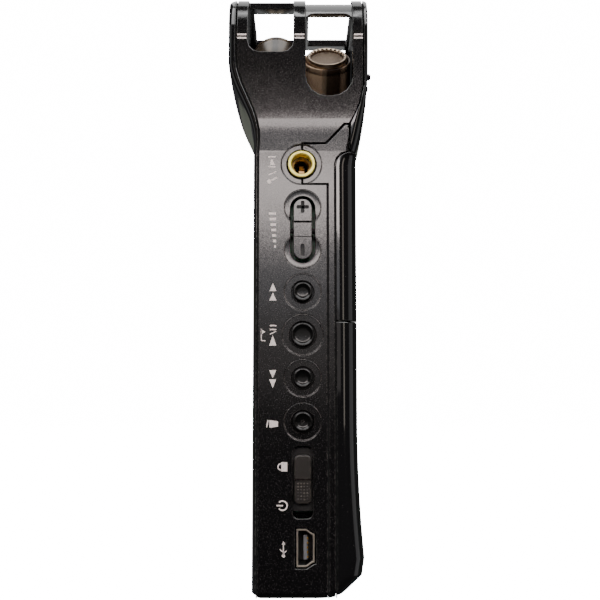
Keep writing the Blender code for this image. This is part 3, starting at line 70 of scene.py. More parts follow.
def soft_panel(name, place, aim, width, height, watts, tint):
    """A rectangular soft light that looks at a point."""
    data = bpy.data.lights.new(name, "AREA")
    data.shape = "RECTANGLE"
    data.size = width
    data.size_y = height
    data.energy = watts
    data.color = tint
    panel = bpy.data.objects.new(name, data)
    bpy.context.scene.collection.objects.link(panel)
    panel.location = place
    panel.visible_camera = False
    direction = Vector(aim) - Vector(place)
    panel.rotation_euler = direction.to_track_quat("-Z", "Y").to_euler()


# Name, place, point looked at, width, height, watts and tint. The strips in front of the keys lie as
# bands on the satin side, the high boxes stay out of its mirror, and the rest give the other sides
# a dim sheen. The two glints draw thin upright lines on the round edges.
for name, place, aim, width, height, watts, tint in (
        ("key_strip", (0.65, 0.0, 0.235), (0, 0, 0.10), 0.50, 0.08, 1.5, (1.0, 0.90, 0.87)),
        ("mid_strip", (0.65, 0.0, 0.160), (0, 0, 0.09), 0.50, 0.07, 0.13, (0.95, 0.95, 1.0)),
        ("low_strip", (0.65, 0.0, 0.085), (0, 0, 0.07), 0.50, 0.07, 0.06, (1.0, 0.92, 0.88)),
        ("high_box_rear", (0.42, 0.45, 0.90), (0, 0, 0.07), 0.90, 0.90, 12.0, (1, 1, 1)),
        ("high_box_front", (0.42, -0.45, 0.90), (0, 0, 0.07), 0.90, 0.90, 12.0, (1, 1, 1)),
        ("far_top", (-0.45, 0.05, 0.85), (0, 0, 0.07), 0.80, 0.80, 4.0, (1, 1, 1)),
        ("front_strip", (0.05, -0.80, 0.05), (0, 0, 0.05), 0.40, 0.90, 0.55, (1, 1, 1)),
        ("rear_strip", (0.05, 0.80, 0.05), (0, 0, 0.05), 0.40, 0.90, 0.55, (1, 1, 1)),
        ("far_strip", (-0.75, 0.0, 0.25), (0, 0, 0.10), 0.40, 0.10, 0.014, (0.85, 0.92, 0.70)),
        ("far_low", (-0.75, 0.0, -0.05), (0, 0, 0.05), 0.60, 0.40, 0.6, (1, 1, 1)),
        ("rear_glint", (0.50, 0.42, 0.17), (0, 0, 0.12), 0.08, 0.30, 0.16, (1.0, 0.90, 0.78)),
        ("front_glint", (0.50, -0.42, 0.17), (0, 0, 0.12), 0.06, 0.30, 0.05, (1.0, 0.90, 0.78))):
    soft_panel(name, place, aim, width, height, watts, tint)

PAPER_WHITE = 16.0
ROOM_GLOW = 0.04
world = bpy.data.worlds.new("studio_world")
bpy.context.scene.world = world
world.use_nodes = True
tree = world.node_tree
tree.nodes.clear()
seen_white = tree.nodes.new("ShaderNodeBackground")
seen_white.inputs["Color"].default_value = (1, 1, 1, 1)
seen_white.inputs["Strength"].default_value = PAPER_WHITE
dim_room = tree.nodes.new("ShaderNodeBackground")
dim_room.inputs["Color"].default_value = (0.95, 0.97, 1.0, 1)
dim_room.inputs["Strength"].default_value = ROOM_GLOW
light_path = tree.nodes.new("ShaderNodeLightPath")
room = tree.nodes.new("ShaderNodeMixShader")
world_out = tree.nodes.new("ShaderNodeOutputWorld")
tree.links.new(light_path.outputs["Is Camera Ray"], room.inputs["Fac"])
tree.links.new(dim_room.outputs[0], room.inputs[1])
tree.links.new(seen_white.outputs[0], room.inputs[2])
tree.links.new(room.outputs[0], world_out.inputs["Surface"])

TABLE_REACH = 1.5
TABLE_DROP = 0.0002
table_corners = [(-TABLE_REACH, -TABLE_REACH), (TABLE_REACH, -TABLE_REACH),
                 (TABLE_REACH, TABLE_REACH), (-TABLE_REACH, TABLE_REACH)]
table_mesh = bpy.data.meshes.new("table_top")
table_mesh.from_pydata([(x, y, -TABLE_DROP) for x, y in table_corners], [], [(0, 1, 2, 3)])
table_top = bpy.data.objects.new("table_top", table_mesh)
bpy.context.scene.collection.objects.link(table_top)
table_top.visible_glossy = False
table_top.visible_diffuse = False
table_white = bpy.data.materials.new("table_white")
table_white.use_nodes = True
table_shader = table_white.node_tree.nodes["Principled BSDF"]
table_shader.inputs["Base Color"].default_value = (0.92, 0.92, 0.92, 1)
table_shader.inputs["Roughness"].default_value = 0.8
table_shader.inputs["Emission Color"].default_value = (1, 1, 1, 1)
table_shader.inputs["Emission Strength"].default_value = PAPER_WHITE
table_mesh.materials.append(table_white)


# ---------------------------------------------------------------- front shell
# One black moulding: front wall, both sides and the cage round the microphones. It is sprayed
# with a satin lacquer full of fine metal flake. Each control sits in a shallow round dish.
MM = 0.001  # lengths of shapes are in millimetres from here on, those of shaders in metres
SIDE_X = 21.0
EASE = 0.14
DISH_DEEP = 0.14
DISH_R = 4.05
PLAY_DISH_R = 4.5
JACK_DISH_R = 4.5
CONTROL_Y = 0.8
SOCKET_Y = 0.55
KEYS_Z = (38.1, 47.7, 57.3, 66.9)
PLAY_Z = KEYS_Z[2]
ROCKER_Z = 81.1
ROCKER_LOBE = 4.9
ROCKER_SLOT = (5.5, 15.1, 2.74)  # width, length and corner radius
POWER_SLOT_Z = 24.95
POWER_SLOT = (4.4, 15.7, 1.3)
ROCKER_SLOT_X = 19.0
POWER_SLOT_X = 18.9
CLEAR_X = 23.0
JACK_Z = 96.0
FLAT_ANGLE = math.radians(0.6)
SHELL_WELD = 0.05
CUT_WELD = 0.07
LEVEL_STEP = 0.6
LEVEL_ROOM = 0.2
NECK_MIDDLE = 102.5
NECK_REACH = 7.5
NECK_CATCH = 0.11
LACQUER_BLACK = (0.0028, 0.0025, 0.0027)
FLAKE_SILVER = (0.040, 0.036, 0.037)
CASE_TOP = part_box("front_shell")[1][2] / MM
SHOULDER = 9.2
NECK_LOW = 99.2
FLARE_LOW = 97.5
FLARE_LENGTH = 9.8


def new_group(name, numbers, colours, outputs):
    """An empty shader node group with float and colour inputs; gives its tree and its two end nodes."""
    group = bpy.data.node_groups.new(name, "ShaderNodeTree")
    for label, value in numbers.items():
        socket = group.interface.new_socket(label, in_out="INPUT", socket_type="NodeSocketFloat")
        socket.default_value = value
    for label, value in colours.items():
        socket = group.interface.new_socket(label, in_out="INPUT", socket_type="NodeSocketColor")
        socket.default_value = (*value, 1)
    for label, kind in outputs.items():
        group.interface.new_socket(label, in_out="OUTPUT", socket_type="NodeSocket" + kind)
    return group, group.nodes.new("NodeGroupInput"), group.nodes.new("NodeGroupOutput")


def math_node(group, operation, first, second):
    """A Math node; each operand is a socket or a number."""
    node = group.nodes.new("ShaderNodeMath")
    node.operation = operation
    for slot, operand in enumerate((first, second)):
        if isinstance(operand, (int, float)):
            node.inputs[slot].default_value = operand
        else:
            group.links.new(operand, node.inputs[slot])
    return node.outputs[0]


def blend_colour(group, share, first, second):
    """A Mix node between two colours, each a socket or three numbers."""
    node = group.nodes.new("ShaderNodeMix")
    node.data_type = "RGBA"
    for slot, value in ((0, share), (6, first), (7, second)):
        if isinstance(value, (int, float)):
            node.inputs[slot].default_value = value
        elif isinstance(value, tuple):
            node.inputs[slot].default_value = (*value, 1)
        else:
            group.links.new(value, node.inputs[slot])
    return node.outputs[2]


def vector_node(group, operation, first, second=None, slot=1):
    """A Vector Math node; the second operand goes to the named input."""
    node = group.nodes.new("ShaderNodeVectorMath")
    node.operation = operation
    group.links.new(first, node.inputs[0])
    if isinstance(second, tuple):
        node.inputs[slot].default_value = second
    elif second:
        group.links.new(second, node.inputs[slot])
    return node.outputs


def spread(group, value, low, high, to_low, to_high):
    """A clamped Map Range node."""
    node = group.nodes.new("ShaderNodeMapRange")
    group.links.new(value, node.inputs["Value"])
    for label, number in (("From Min", low), ("From Max", high), ("To Min", to_low), ("To Max", to_high)):
        if isinstance(number, (int, float)):
            node.inputs[label].default_value = number
        else:
            group.links.new(number, node.inputs[label])
    return node.outputs[0]


def noise(group, scale, detail=3.0, stretch=None):
    """Noise on Object coordinates, in cells per metre, stretched along the axes when asked."""
    place = group.nodes.new("ShaderNodeTexCoord").outputs["Object"]
    if stretch:
        mapping = group.nodes.new("ShaderNodeMapping")
        mapping.inputs["Scale"].default_value = stretch
        group.links.new(place, mapping.inputs["Vector"])
        place = mapping.outputs[0]
    node = group.nodes.new("ShaderNodeTexNoise")
    group.links.new(place, node.inputs["Vector"])
    node.inputs["Detail"].default_value = detail
    if isinstance(scale, (int, float)):
        node.inputs["Scale"].default_value = scale
    else:
        group.links.new(scale, node.inputs["Scale"])
    return node.outputs[0]


# Edge wear: where a rounded normal departs from the true one the surface is an edge, broken by noise.
edge_wear, ends, out = new_group("edge_wear", {"Reach": 0.0003, "Strength": 1.0}, {}, {"Mask": "Float"})
rounded = edge_wear.nodes.new("ShaderNodeBevel")
rounded.samples = 4
edge_wear.links.new(ends.outputs["Reach"], rounded.inputs["Radius"])
true_normal = edge_wear.nodes.new("ShaderNodeNewGeometry").outputs["Normal"]
agree = vector_node(edge_wear, "DOT_PRODUCT", rounded.outputs[0], true_normal)
edge = spread(edge_wear, agree["Value"], 0.995, 0.90, 0.0, 1.0)
broken = spread(edge_wear, noise(edge_wear, 900.0, 5.0), 0.42, 0.62, 0.0, 1.0)
worn_edge = math_node(edge_wear, "MULTIPLY", edge, broken)
mask = math_node(edge_wear, "MULTIPLY", worn_edge, ends.outputs["Strength"])
edge_wear.links.new(mask, out.inputs["Mask"])

# Flake: each cell of a fine cell pattern is one flake; a few are bright, and each tips its own way.
flake, ends, out = new_group("flake_lacquer", {"Cells": 9000.0, "Share": 0.10, "Tip": 0.03},
                             {"Ground": LACQUER_BLACK, "Flake": FLAKE_SILVER},
                             {"Color": "Color", "Roughness": "Float", "Normal": "Vector"})
cells = flake.nodes.new("ShaderNodeTexVoronoi")
flake.links.new(flake.nodes.new("ShaderNodeTexCoord").outputs["Object"], cells.inputs["Vector"])
flake.links.new(ends.outputs["Cells"], cells.inputs["Scale"])
parts = flake.nodes.new("ShaderNodeSeparateColor")
flake.links.new(cells.outputs["Color"], parts.inputs[0])
threshold = math_node(flake, "SUBTRACT", 1.0, ends.outputs["Share"])
bright = spread(flake, parts.outputs[0], threshold, 1.0, 0.0, 1.0)
flaked = blend_colour(flake, bright, ends.outputs["Ground"], ends.outputs["Flake"])
flake.links.new(flaked, out.inputs["Color"])
cloud = spread(flake, noise(flake, 160.0), 0.35, 0.7, 0.125, 0.15)
flake.links.new(math_node(flake, "SUBTRACT", cloud, math_node(flake, "MULTIPLY", bright, 0.02)),
                out.inputs["Roughness"])
centred = vector_node(flake, "SUBTRACT", cells.outputs["Color"], (0.5, 0.5, 0.5))[0]
tipped = vector_node(flake, "SCALE", centred, ends.outputs["Tip"], "Scale")[0]
plain_normal = flake.nodes.new("ShaderNodeNewGeometry").outputs["Normal"]
added = vector_node(flake, "ADD", plain_normal, tipped)[0]
flake.links.new(vector_node(flake, "NORMALIZE", added)[0], out.inputs["Normal"])


def use_group(material, group, **values):
    """Place a node group in a material with its own values."""
    node = material.node_tree.nodes.new("ShaderNodeGroup")
    node.node_tree = group
    for label, value in values.items():
        node.inputs[label].default_value = value
    return node


def new_material(name, colour, roughness, metallic=0.0):
    """A Principled material; gives the material and its shader."""
    material = bpy.data.materials.new(name)
    material.use_nodes = True
    shader = material.node_tree.nodes["Principled BSDF"]
    shader.inputs["Base Color"].default_value = (*colour, 1)
    shader.inputs["Roughness"].default_value = roughness
    shader.inputs["Metallic"].default_value = metallic
    return material, shader


def wear_edges(material, shader, colour, worn, strength):
    """Lay the edge-wear mask between a colour (socket or numbers) and a worn colour."""
    tree = material.node_tree
    mask = use_group(material, edge_wear, Strength=strength).outputs["Mask"]
    tree.links.new(blend_colour(tree, mask, colour, worn), shader.inputs["Base Color"])


def satin_lacquer():
    """Black lacquer with metal flake, rubbed grey along its edges."""
    material, shader = new_material("satin_flake_lacquer", LACQUER_BLACK, 0.33)
    tree = material.node_tree
    lacquer = use_group(material, flake)
    tree.links.new(lacquer.outputs["Roughness"], shader.inputs["Roughness"])
    tree.links.new(lacquer.outputs["Normal"], shader.inputs["Normal"])
    wear_edges(material, shader, lacquer.outputs["Color"], (0.16, 0.14, 0.13), 0.5)
    shader.inputs["Specular IOR Level"].default_value = 0.55
    shader.inputs["Coat Weight"].default_value = 0.10
    shader.inputs["Coat Roughness"].default_value = 0.16
    return material


def clean_copy(node, weld=0.02):
    """A welded copy of a CAD node's mesh, its flat triangles joined into faces."""
    shape = bmesh.new()
    shape.from_mesh(nodes[node].data)
    bmesh.ops.remove_doubles(shape, verts=shape.verts, dist=weld * MM)
    bmesh.ops.dissolve_limit(shape, angle_limit=FLAT_ANGLE, verts=shape.verts, edges=shape.edges)
    mesh = bpy.data.meshes.new(node + "_eased")
    shape.to_mesh(mesh)
    shape.free()
    return mesh


def add_piece(name, mesh, material, body, slot, *stands_for):
    """Link a mesh as a piece that rides on a body, with its finish and the nodes it stands for."""
    piece = bpy.data.objects.new(name, mesh)
    bpy.context.scene.collection.objects.link(piece)
    mesh.materials.clear()
    mesh.materials.append(material)
    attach(piece, body)
    if stands_for:
        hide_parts(*stands_for)
    return piece


def ease(piece, width=EASE, segments=2, angle=28):
    """Round the edges sharper than an angle and shade the rest smooth."""
    rounding = piece.modifiers.new("eased_edges", "BEVEL")
    rounding.width = width * MM
    rounding.segments = segments
    rounding.limit_method = "ANGLE"
    rounding.angle_limit = math.radians(angle)
    rounding.use_clamp_overlap = False
    weighting = piece.modifiers.new("even_normals", "WEIGHTED_NORMAL")
    weighting.keep_sharp = True
    piece.data.shade_smooth()
    piece.data.set_sharp_from_angle(angle=math.radians(angle))


def ring_quads(rings, count, closed=False):
    """Faces between each ring of points and the next; closed joins the last ring to the first."""
    row = np.arange(rings if closed else rings - 1)[:, None]
    near = np.arange(count)[None, :] + 0 * row
    far = (near + 1) % count
    low, high = row * count, (row + 1) % rings * count
    return np.stack([low + near, low + far, high + far, high + near], -1).reshape(-1, 4)


def turned(name, profile, place, tilt=(0, 0, 0), segments=64, closed=False):
    """A profile of (radius, height) pairs turned about Z, tilted, then moved to its place."""
    radius, height = np.array(profile, float).T * MM
    angle = np.linspace(0, 2 * np.pi, segments, endpoint=False)
    x = radius[:, None] * np.cos(angle)
    y = radius[:, None] * np.sin(angle)
    z = height[:, None] * np.ones_like(angle)
    rings = len(profile)
    points = np.stack([x, y, z], -1).reshape(-1, 3)
    faces = ring_quads(rings, segments, closed).tolist()
    if not closed:
        faces.append(list(range(segments))[::-1])
        faces.append(list(range((rings - 1) * segments, rings * segments)))
    turn = np.array(Matrix.Rotation(tilt[2], 3, "Z") @ Matrix.Rotation(tilt[1], 3, "Y")
                    @ Matrix.Rotation(tilt[0], 3, "X"))
    mesh = bpy.data.meshes.new(name)
    mesh.from_pydata((points @ turn.T + np.array(place) * MM).tolist(), [], faces)
    mesh.update()
    mesh.shade_smooth()
    mesh.set_sharp_from_angle(angle=math.radians(35))
    return mesh


def rounded_outline(centre, width, height, radius, steps=8):
    """Corners of a rounded rectangle as arcs, in order round it."""
    reach_x, reach_y = width / 2 - radius, height / 2 - radius
    angle = np.radians(np.linspace(0, 90, steps + 1))
    points = []
    for turn, (sign_x, sign_y) in enumerate(((1, 1), (-1, 1), (-1, -1), (1, -1))):
        swing = angle + turn * np.pi / 2
        points.append(np.stack([centre[0] + sign_x * reach_x + radius * np.cos(swing),
                                centre[1] + sign_y * reach_y + radius * np.sin(swing)], -1))
    return np.concatenate(points)


def closed_mesh(name, points, faces):
    """A mesh from points in millimetres, its faces all turned outwards."""
    mesh = bpy.data.meshes.new(name)
    mesh.from_pydata((points * MM).tolist(), [], faces)
    shape = bmesh.new()
    shape.from_mesh(mesh)
    bmesh.ops.recalc_face_normals(shape, faces=shape.faces)
    shape.to_mesh(mesh)
    shape.free()
    return mesh


def slab(name, outline, axis, start, end):
    """An outline of two coordinates carried straight along an axis, closed at both ends."""
    outline = np.asarray(outline, float)
    count = len(outline)
    rings = []
    for level in (start, end):
        u, v = outline.T
        w = np.full(count, level)
        order = {"X": (w, u, v), "Y": (u, w, v), "Z": (u, v, w)}[axis]
        rings.append(np.stack(order, -1))
    caps = [list(range(count))[::-1], list(range(count, 2 * count))]
    faces = ring_quads(2, count).tolist() + caps
    return closed_mesh(name, np.concatenate(rings), faces)


def carve(piece, meshes):
    """Cut meshes out of a piece with the exact solver and keep the result as its mesh."""
    for number, mesh in enumerate(meshes):
        cutter = bpy.data.objects.new("cutter_%d" % number, mesh)
        bpy.context.scene.collection.objects.link(cutter)
        boolean = piece.modifiers.new("carve", "BOOLEAN")
        boolean.operation = "DIFFERENCE"
        boolean.object = cutter
        boolean.solver = "EXACT"
    depsgraph = bpy.context.evaluated_depsgraph_get()
    cut = bpy.data.meshes.new_from_object(piece.evaluated_get(depsgraph))
    for modifier in list(piece.modifiers):
        if modifier.type == "BOOLEAN":
            bpy.data.objects.remove(modifier.object, do_unlink=True)
            piece.modifiers.remove(modifier)
    piece.data = cut


def dish(side, y, z, radius):
    """A disc that sinks a round dish into one side of the case."""
    profile = [(radius, -DISH_DEEP), (radius + DISH_DEEP, 0.0), (radius + DISH_DEEP, 2.0)]
    return turned("dish", profile, (side * SIDE_X, y, z), (0, side * math.pi / 2, 0), 72)


def half_width(z, inset):
    """Half width: 21 mm, eased out 0.6 mm up the neck, sloped at the foot, quarter round at the top."""
    share = np.clip((z - FLARE_LOW) / FLARE_LENGTH, 0, 1)
    width = SIDE_X + 0.6 * share * share * (3 - 2 * share) - inset
    width = width - 0.7 * np.clip(1.3 - z, 0, None)
    reach = SHOULDER - inset
    rise = np.clip(z - (CASE_TOP - SHOULDER), 0, reach)
    return width - reach + np.sqrt(reach ** 2 - rise ** 2)


def mesh_points(mesh):
    """The places of a mesh's points, one in each row."""
    points = np.empty(len(mesh.vertices) * 3)
    mesh.vertices.foreach_get("co", points)
    return points.reshape(-1, 3)


def smooth_neck(mesh):
    """Weld what carving left close together, cut the neck into fine levels and lay its sides on
    the eased half width. The hollow floors of the rocker dishes are cut into triangles first."""
    shape = bmesh.new()
    shape.from_mesh(mesh)
    bmesh.ops.remove_doubles(shape, verts=shape.verts, dist=CUT_WELD * MM)
    floors = []
    for face in shape.faces:
        middle = face.calc_center_median() / MM
        if abs(abs(middle.x) - (SIDE_X - DISH_DEEP)) < 0.01 and abs(middle.z - ROCKER_Z) < 10:
            floors.append(face)
    bmesh.ops.triangulate(shape, faces=floors)
    heights = np.array([point.co.z for point in shape.verts]) / MM
    for level in np.arange(FLARE_LOW - 0.4, FLARE_LOW + FLARE_LENGTH + 5.0, LEVEL_STEP):
        if np.abs(heights - level).min() < LEVEL_ROOM:
            continue
        bmesh.ops.bisect_plane(shape, geom=shape.verts[:] + shape.edges[:] + shape.faces[:],
                               dist=0.01 * MM, plane_co=(0, 0, level * MM), plane_no=(0, 0, 1))
    shape.to_mesh(mesh)
    shape.free()
    points = mesh_points(mesh)
    wide = half_width(points[:, 2] / MM, 0.0) * MM
    near_side = np.abs(np.abs(points[:, 0]) - wide) < NECK_CATCH * MM
    on_neck = np.abs(points[:, 2] / MM - NECK_MIDDLE) < NECK_REACH
    points[:, 0] = np.where(near_side & on_neck, np.sign(points[:, 0]) * wide, points[:, 0])
    mesh.vertices.foreach_set("co", points.ravel())
    mesh.update()


satin = satin_lacquer()
front_shell = add_piece("front_shell_skin", clean_copy("front_shell", SHELL_WELD), satin, CASE,
                        "front_shell", "front_shell")
dishes = [dish(1, CONTROL_Y, z, PLAY_DISH_R if z == PLAY_Z else DISH_R) for z in KEYS_Z]
for side in (1, -1):
    dishes += [dish(side, CONTROL_Y, ROCKER_Z + lobe, DISH_R) for lobe in (ROCKER_LOBE, -ROCKER_LOBE)]
    dishes.append(dish(side, SOCKET_Y, JACK_Z, JACK_DISH_R))
    rocker_slot = rounded_outline((CONTROL_Y, ROCKER_Z), *ROCKER_SLOT, 14)
    dishes.append(slab("rocker_slot", rocker_slot, "X", side * ROCKER_SLOT_X, side * CLEAR_X))
power_outline = rounded_outline((CONTROL_Y, POWER_SLOT_Z), *POWER_SLOT)
power_slot = slab("power_slot", power_outline, "X", POWER_SLOT_X, CLEAR_X)
carve(front_shell, dishes + [power_slot])
smooth_neck(front_shell.data)
ease(front_shell)


# ---------------------------------------------------------------- rear shell
# The back half of the case, of the same lacquered moulding. Its tab reaches round the jacks.
rear_shell = add_piece("rear_shell_skin", clean_copy("rear_shell", SHELL_WELD), satin, CASE,
                       "rear_shell", "rear_shell")
carve(rear_shell, [dish(side, SOCKET_Y, JACK_Z, JACK_DISH_R) for side in (1, -1)])
smooth_neck(rear_shell.data)
ease(rear_shell)


# ---------------------------------------------------------------- glossy plates
# Four thin covers moulded in piano-black plastic: the front plate from foot to head, the rear
# panel with the speaker slots, the battery cover under it and the back of the head. Each wraps
# round the corners of the case and shows a hairline gap where it meets the lacquered shells.
NECK_LENGTH = 26.5
NECK_FRONT = (101.7, 120.7)  # where the front of the neck swells
HEEL_Z = 8.2
CROWN = 0.3
COVER_EDGE_Y = 8.3
PANEL_TOP = 98.8
SHELL_SEAM_Y = 11.4
HEAD_SEAM_Z = 105.4
PIANO_BLACK = (0.0045, 0.0042, 0.0045)


def neck_share(z):
    """How much of the widening is done: one minus the rest of the neck to the power 2.9."""
    share = np.clip((z - NECK_LOW) / NECK_LENGTH, 0, 1)
    return 1 - (1 - share) ** 2.9


def top_rounding(z):
    """How far the faces fall back in the last two millimetres under the roof."""
    return 1.6 * (np.clip(z - (CASE_TOP - 2), 0, None) / 2) ** 2


def front_depth(z):
    """Front face ahead of the middle: the body's depth, the neck's growth, the foot and the top."""
    share = np.clip((z - NECK_FRONT[0]) / (NECK_FRONT[1] - NECK_FRONT[0]), 0, 1)
    swell = share * share * (3 - 2 * share)
    return 10.33 + 5.97 * swell - np.clip(1.3 - z, 0, None) - top_rounding(z)


def back_depth(z):
    """Back face behind the middle: a chamfered foot, a heel that fades upwards, then the neck."""
    fade = np.clip(1 - (z - HEEL_Z) / 30, 0, 1)
    upper = 13.1 + 2.75 * neck_share(z) + 1.4 * fade ** 2 - top_rounding(z)
    chamfer = np.interp(z, (0, 4.5, HEEL_Z), (9.1, 13.94, 14.5))
    return np.where(z < HEEL_Z, chamfer, upper)


def eased_steps(z, heights, values, reach=2.2):
    """Straight steps between heights, averaged over a short reach so that they have no kinks."""
    return np.mean([np.interp(z + shift, heights, values) for shift in np.linspace(-reach, reach, 9)], 0)


def wrapped_line(edge, width, depth, radius, along, across):
    """Half of a section: straight along the side, round the corner, then over the domed face.

    The first part runs by length from the edge through the corner; the second divides the face."""
    edge, width, depth, radius = (value[:, None] for value in (edge, width, depth, radius))
    straight = np.clip(depth - radius - edge, 0, None)
    start = np.arcsin(np.clip((edge - depth + radius) / radius, 0, 0.995))
    run = along[None, :] * (straight + radius * (np.pi / 2 - start))
    angle = start + np.clip(run - straight, 0, None) / radius
    x = np.where(run < straight, width, width - radius + radius * np.cos(angle))
    v = np.where(run < straight, edge + run, depth - radius + radius * np.sin(angle))
    face_x = (width - radius) * across[None, :]
    face_v = depth + CROWN * (1 - across[None, :] ** 2)
    return np.hstack([x, face_x]), np.maximum(np.hstack([v, face_v]), edge)


def cover_mesh(name, z, edge, depth, radius, facing, thick, corner_steps=18, face_steps=9):
    """A cover: its outer section and the same section drawn in, lofted over the heights z."""
    along = np.linspace(0, 1, corner_steps)
    across = np.linspace(1, 0, face_steps + 1)[1:]
    rings = []
    for inset in (0.0, thick):
        inner_radius = np.maximum(radius - inset, 0.3)
        x, v = wrapped_line(edge, half_width(z, inset), depth - inset, inner_radius, along, across)
        x = np.hstack([x, -x[:, -2::-1]])
        v = np.hstack([v, v[:, -2::-1]])
        rings.append(np.stack([x, facing * v, z[:, None] + 0 * x], -1))
    ring = np.concatenate([rings[0], rings[1][:, ::-1]], 1)
    levels, points = ring.shape[:2]
    quads = ring_quads(levels, points)
    half = points // 2
    low = np.arange(half - 1)
    caps = []
    for first in (0, (levels - 1) * points):
        caps.append(np.stack([low, points - 1 - low, points - 2 - low, low + 1], -1) + first)
    faces = np.concatenate([quads[:, ::-1], caps[0][:, ::-1], caps[1]])
    if facing < 0:
        faces = faces[:, ::-1]
    mesh = bpy.data.meshes.new(name)
    mesh.from_pydata((ring.reshape(-1, 3) * MM).tolist(), [], faces.tolist())
    mesh.update()
    return mesh


def circle(centre, radius, segments=64):
    """Points round a circle."""
    angle = np.linspace(0, 2 * np.pi, segments, endpoint=False)
    return np.stack([centre[0] + radius * np.cos(angle), centre[1] + radius * np.sin(angle)], -1)


# Handling marks: faint wiped streaks, fine scratches across them and specks of dust.
handling, ends, out = new_group("handling_marks", {"Streaks": 90.0, "Scratches": 0.5, "Dust": 0.3}, {},
                                {"Roughness": "Float", "Height": "Float", "Dust": "Float"})
streak = noise(handling, ends.outputs["Streaks"], 4.0, (0.4, 1.0, 0.25))
smear = spread(handling, streak, 0.40, 0.75, 0.0, 0.10)
hair = noise(handling, 1500.0, 2.0, (1.0, 1.0, 0.03))
deep_hair = spread(handling, hair, 0.70, 0.74, 0.0, 1.0)
scratch = math_node(handling, "MULTIPLY", deep_hair, ends.outputs["Scratches"])
handling.links.new(math_node(handling, "ADD", smear, math_node(handling, "MULTIPLY", scratch, 0.15)),
                   out.inputs["Roughness"])
handling.links.new(math_node(handling, "MULTIPLY", scratch, -1.0), out.inputs["Height"])
speck = spread(handling, noise(handling, 3800.0, 1.0), 0.76, 0.80, 0.0, 1.0)
handling.links.new(math_node(handling, "MULTIPLY", speck, ends.outputs["Dust"]), out.inputs["Dust"])


def add_bump(tree, height, shader, distance, strength):
    """Feed a height to a shader's normal."""
    raised = tree.nodes.new("ShaderNodeBump")
    raised.inputs["Distance"].default_value = distance
    raised.inputs["Strength"].default_value = strength
    tree.links.new(height, raised.inputs["Height"])
    tree.links.new(raised.outputs[0], shader.inputs["Normal"])


def plastic(name, colour, roughness, worn, scratches=0.5, dust=0.3, bump=0.02):
    """A moulded plastic with handling marks, dust and rubbed edges; gives its material and shader."""
    material, shader = new_material(name, colour, roughness)
    tree = material.node_tree
    marks = use_group(material, handling, Scratches=scratches, Dust=dust)
    rough = math_node(tree, "ADD", marks.outputs["Roughness"], roughness)
    tree.links.new(rough, shader.inputs["Roughness"])
    add_bump(tree, marks.outputs["Height"], shader, 0.0002, bump)
    dusty = blend_colour(tree, marks.outputs["Dust"], colour, (0.30, 0.28, 0.26))
    wear_edges(material, shader, dusty, worn, 0.6)
    return material, shader


gloss, gloss_shader = plastic("piano_black_plastic", PIANO_BLACK, 0.05, (0.10, 0.095, 0.09), 0.4, 0.25)
gloss_shader.inputs["Coat Weight"].default_value = 0.5
gloss_shader.inputs["Coat Roughness"].default_value = 0.04
radius_heights = (NECK_LOW, sum(NECK_FRONT) / 2 - 1.25)
FRONT_RADII = (0.9, 1.7)
shoulder_levels = CASE_TOP - SHOULDER + SHOULDER * np.sin(np.radians(np.linspace(2, 76, 22)))
plate_z = np.concatenate([[0.7, 1.3], np.linspace(6, NECK_LOW - 3, 10),
                          np.linspace(NECK_LOW - 2, 128.1, 60), shoulder_levels,
                          np.linspace(CASE_TOP - 0.25, CASE_TOP - 0.09, 2)])
front_r = eased_steps(plate_z, radius_heights, FRONT_RADII)
edge_shares = np.array([-1.0, 0.0, 0.08, 0.17, 0.27, 0.37, 0.48, 0.6, 0.72, 0.84, 1.3])
edge_heights = NECK_LOW + NECK_LENGTH * edge_shares
edge_depths = front_depth(edge_heights) - np.interp(edge_heights, radius_heights, FRONT_RADII)
plate_edge = np.interp(plate_z, edge_heights, edge_depths)
plate_mesh = cover_mesh("front_plate_skin", plate_z, plate_edge, front_depth(plate_z), front_r, -1, 0.8)
front_plate = add_piece("front_plate_skin", plate_mesh, gloss, CASE, "front_plate", "front_plate")
SCREEN_Z = 76.7
RECORD_Z = 45.7
LAMP_Z = 95.7
plate_holes = (rounded_outline((0, SCREEN_Z), 30.0, 25.0, 1.5), circle((0, RECORD_Z), 6.55),
               circle((0, LAMP_Z), 1.5, 32))
carve(front_plate, [slab("hole", outline, "Y", -20, -3) for outline in plate_holes])
ease(front_plate, 0.18, 3, 35)

back_heights = (89.6, PANEL_TOP, HEAD_SEAM_Z, 112.45, 125.7)
back_radii = (4.6, 2.6, 2.6, 1.5, 0.8)
SPEAKER_Z = 87.5
SPEAKER_SLOT_PITCH = 2.2
BUSH_Z = 69.0
corner_reach = SHELL_SEAM_Y - COVER_EDGE_Y


def glossy_edge(z):
    """Side edge of the rear panel: straight, then a quarter round towards the back at the top."""
    rise = np.clip(z - (PANEL_TOP - corner_reach), 0, corner_reach)
    return COVER_EDGE_Y + corner_reach - np.sqrt(corner_reach ** 2 - rise ** 2)


corner_levels = PANEL_TOP - corner_reach + corner_reach * np.sin(np.radians(np.linspace(0, 88, 14)))
panel_z = np.concatenate([np.linspace(60.5, 86, 12), np.linspace(87, 95.5, 14), corner_levels])
panel_mesh = cover_mesh("rear_panel_skin", panel_z, glossy_edge(panel_z), back_depth(panel_z),
                        back_depth(panel_z) - glossy_edge(panel_z), 1, 1.3)
rear_panel = add_piece("rear_panel_skin", panel_mesh, gloss, CASE, "rear_panel", "rear_panel")
slots = [slab("bush_hole", circle((0, BUSH_Z), 4.8), "Y", 3, 25)]
for number in range(-2, 3):
    z = SPEAKER_Z + number * SPEAKER_SLOT_PITCH
    length = 10.0 * math.sqrt(max(1 - (number * SPEAKER_SLOT_PITCH / 5.9) ** 2, 0.1))
    slots.append(slab("speaker_slot", rounded_outline((0, z), length, 1.0, 0.45), "Y", 3, 25))
carve(rear_panel, slots)
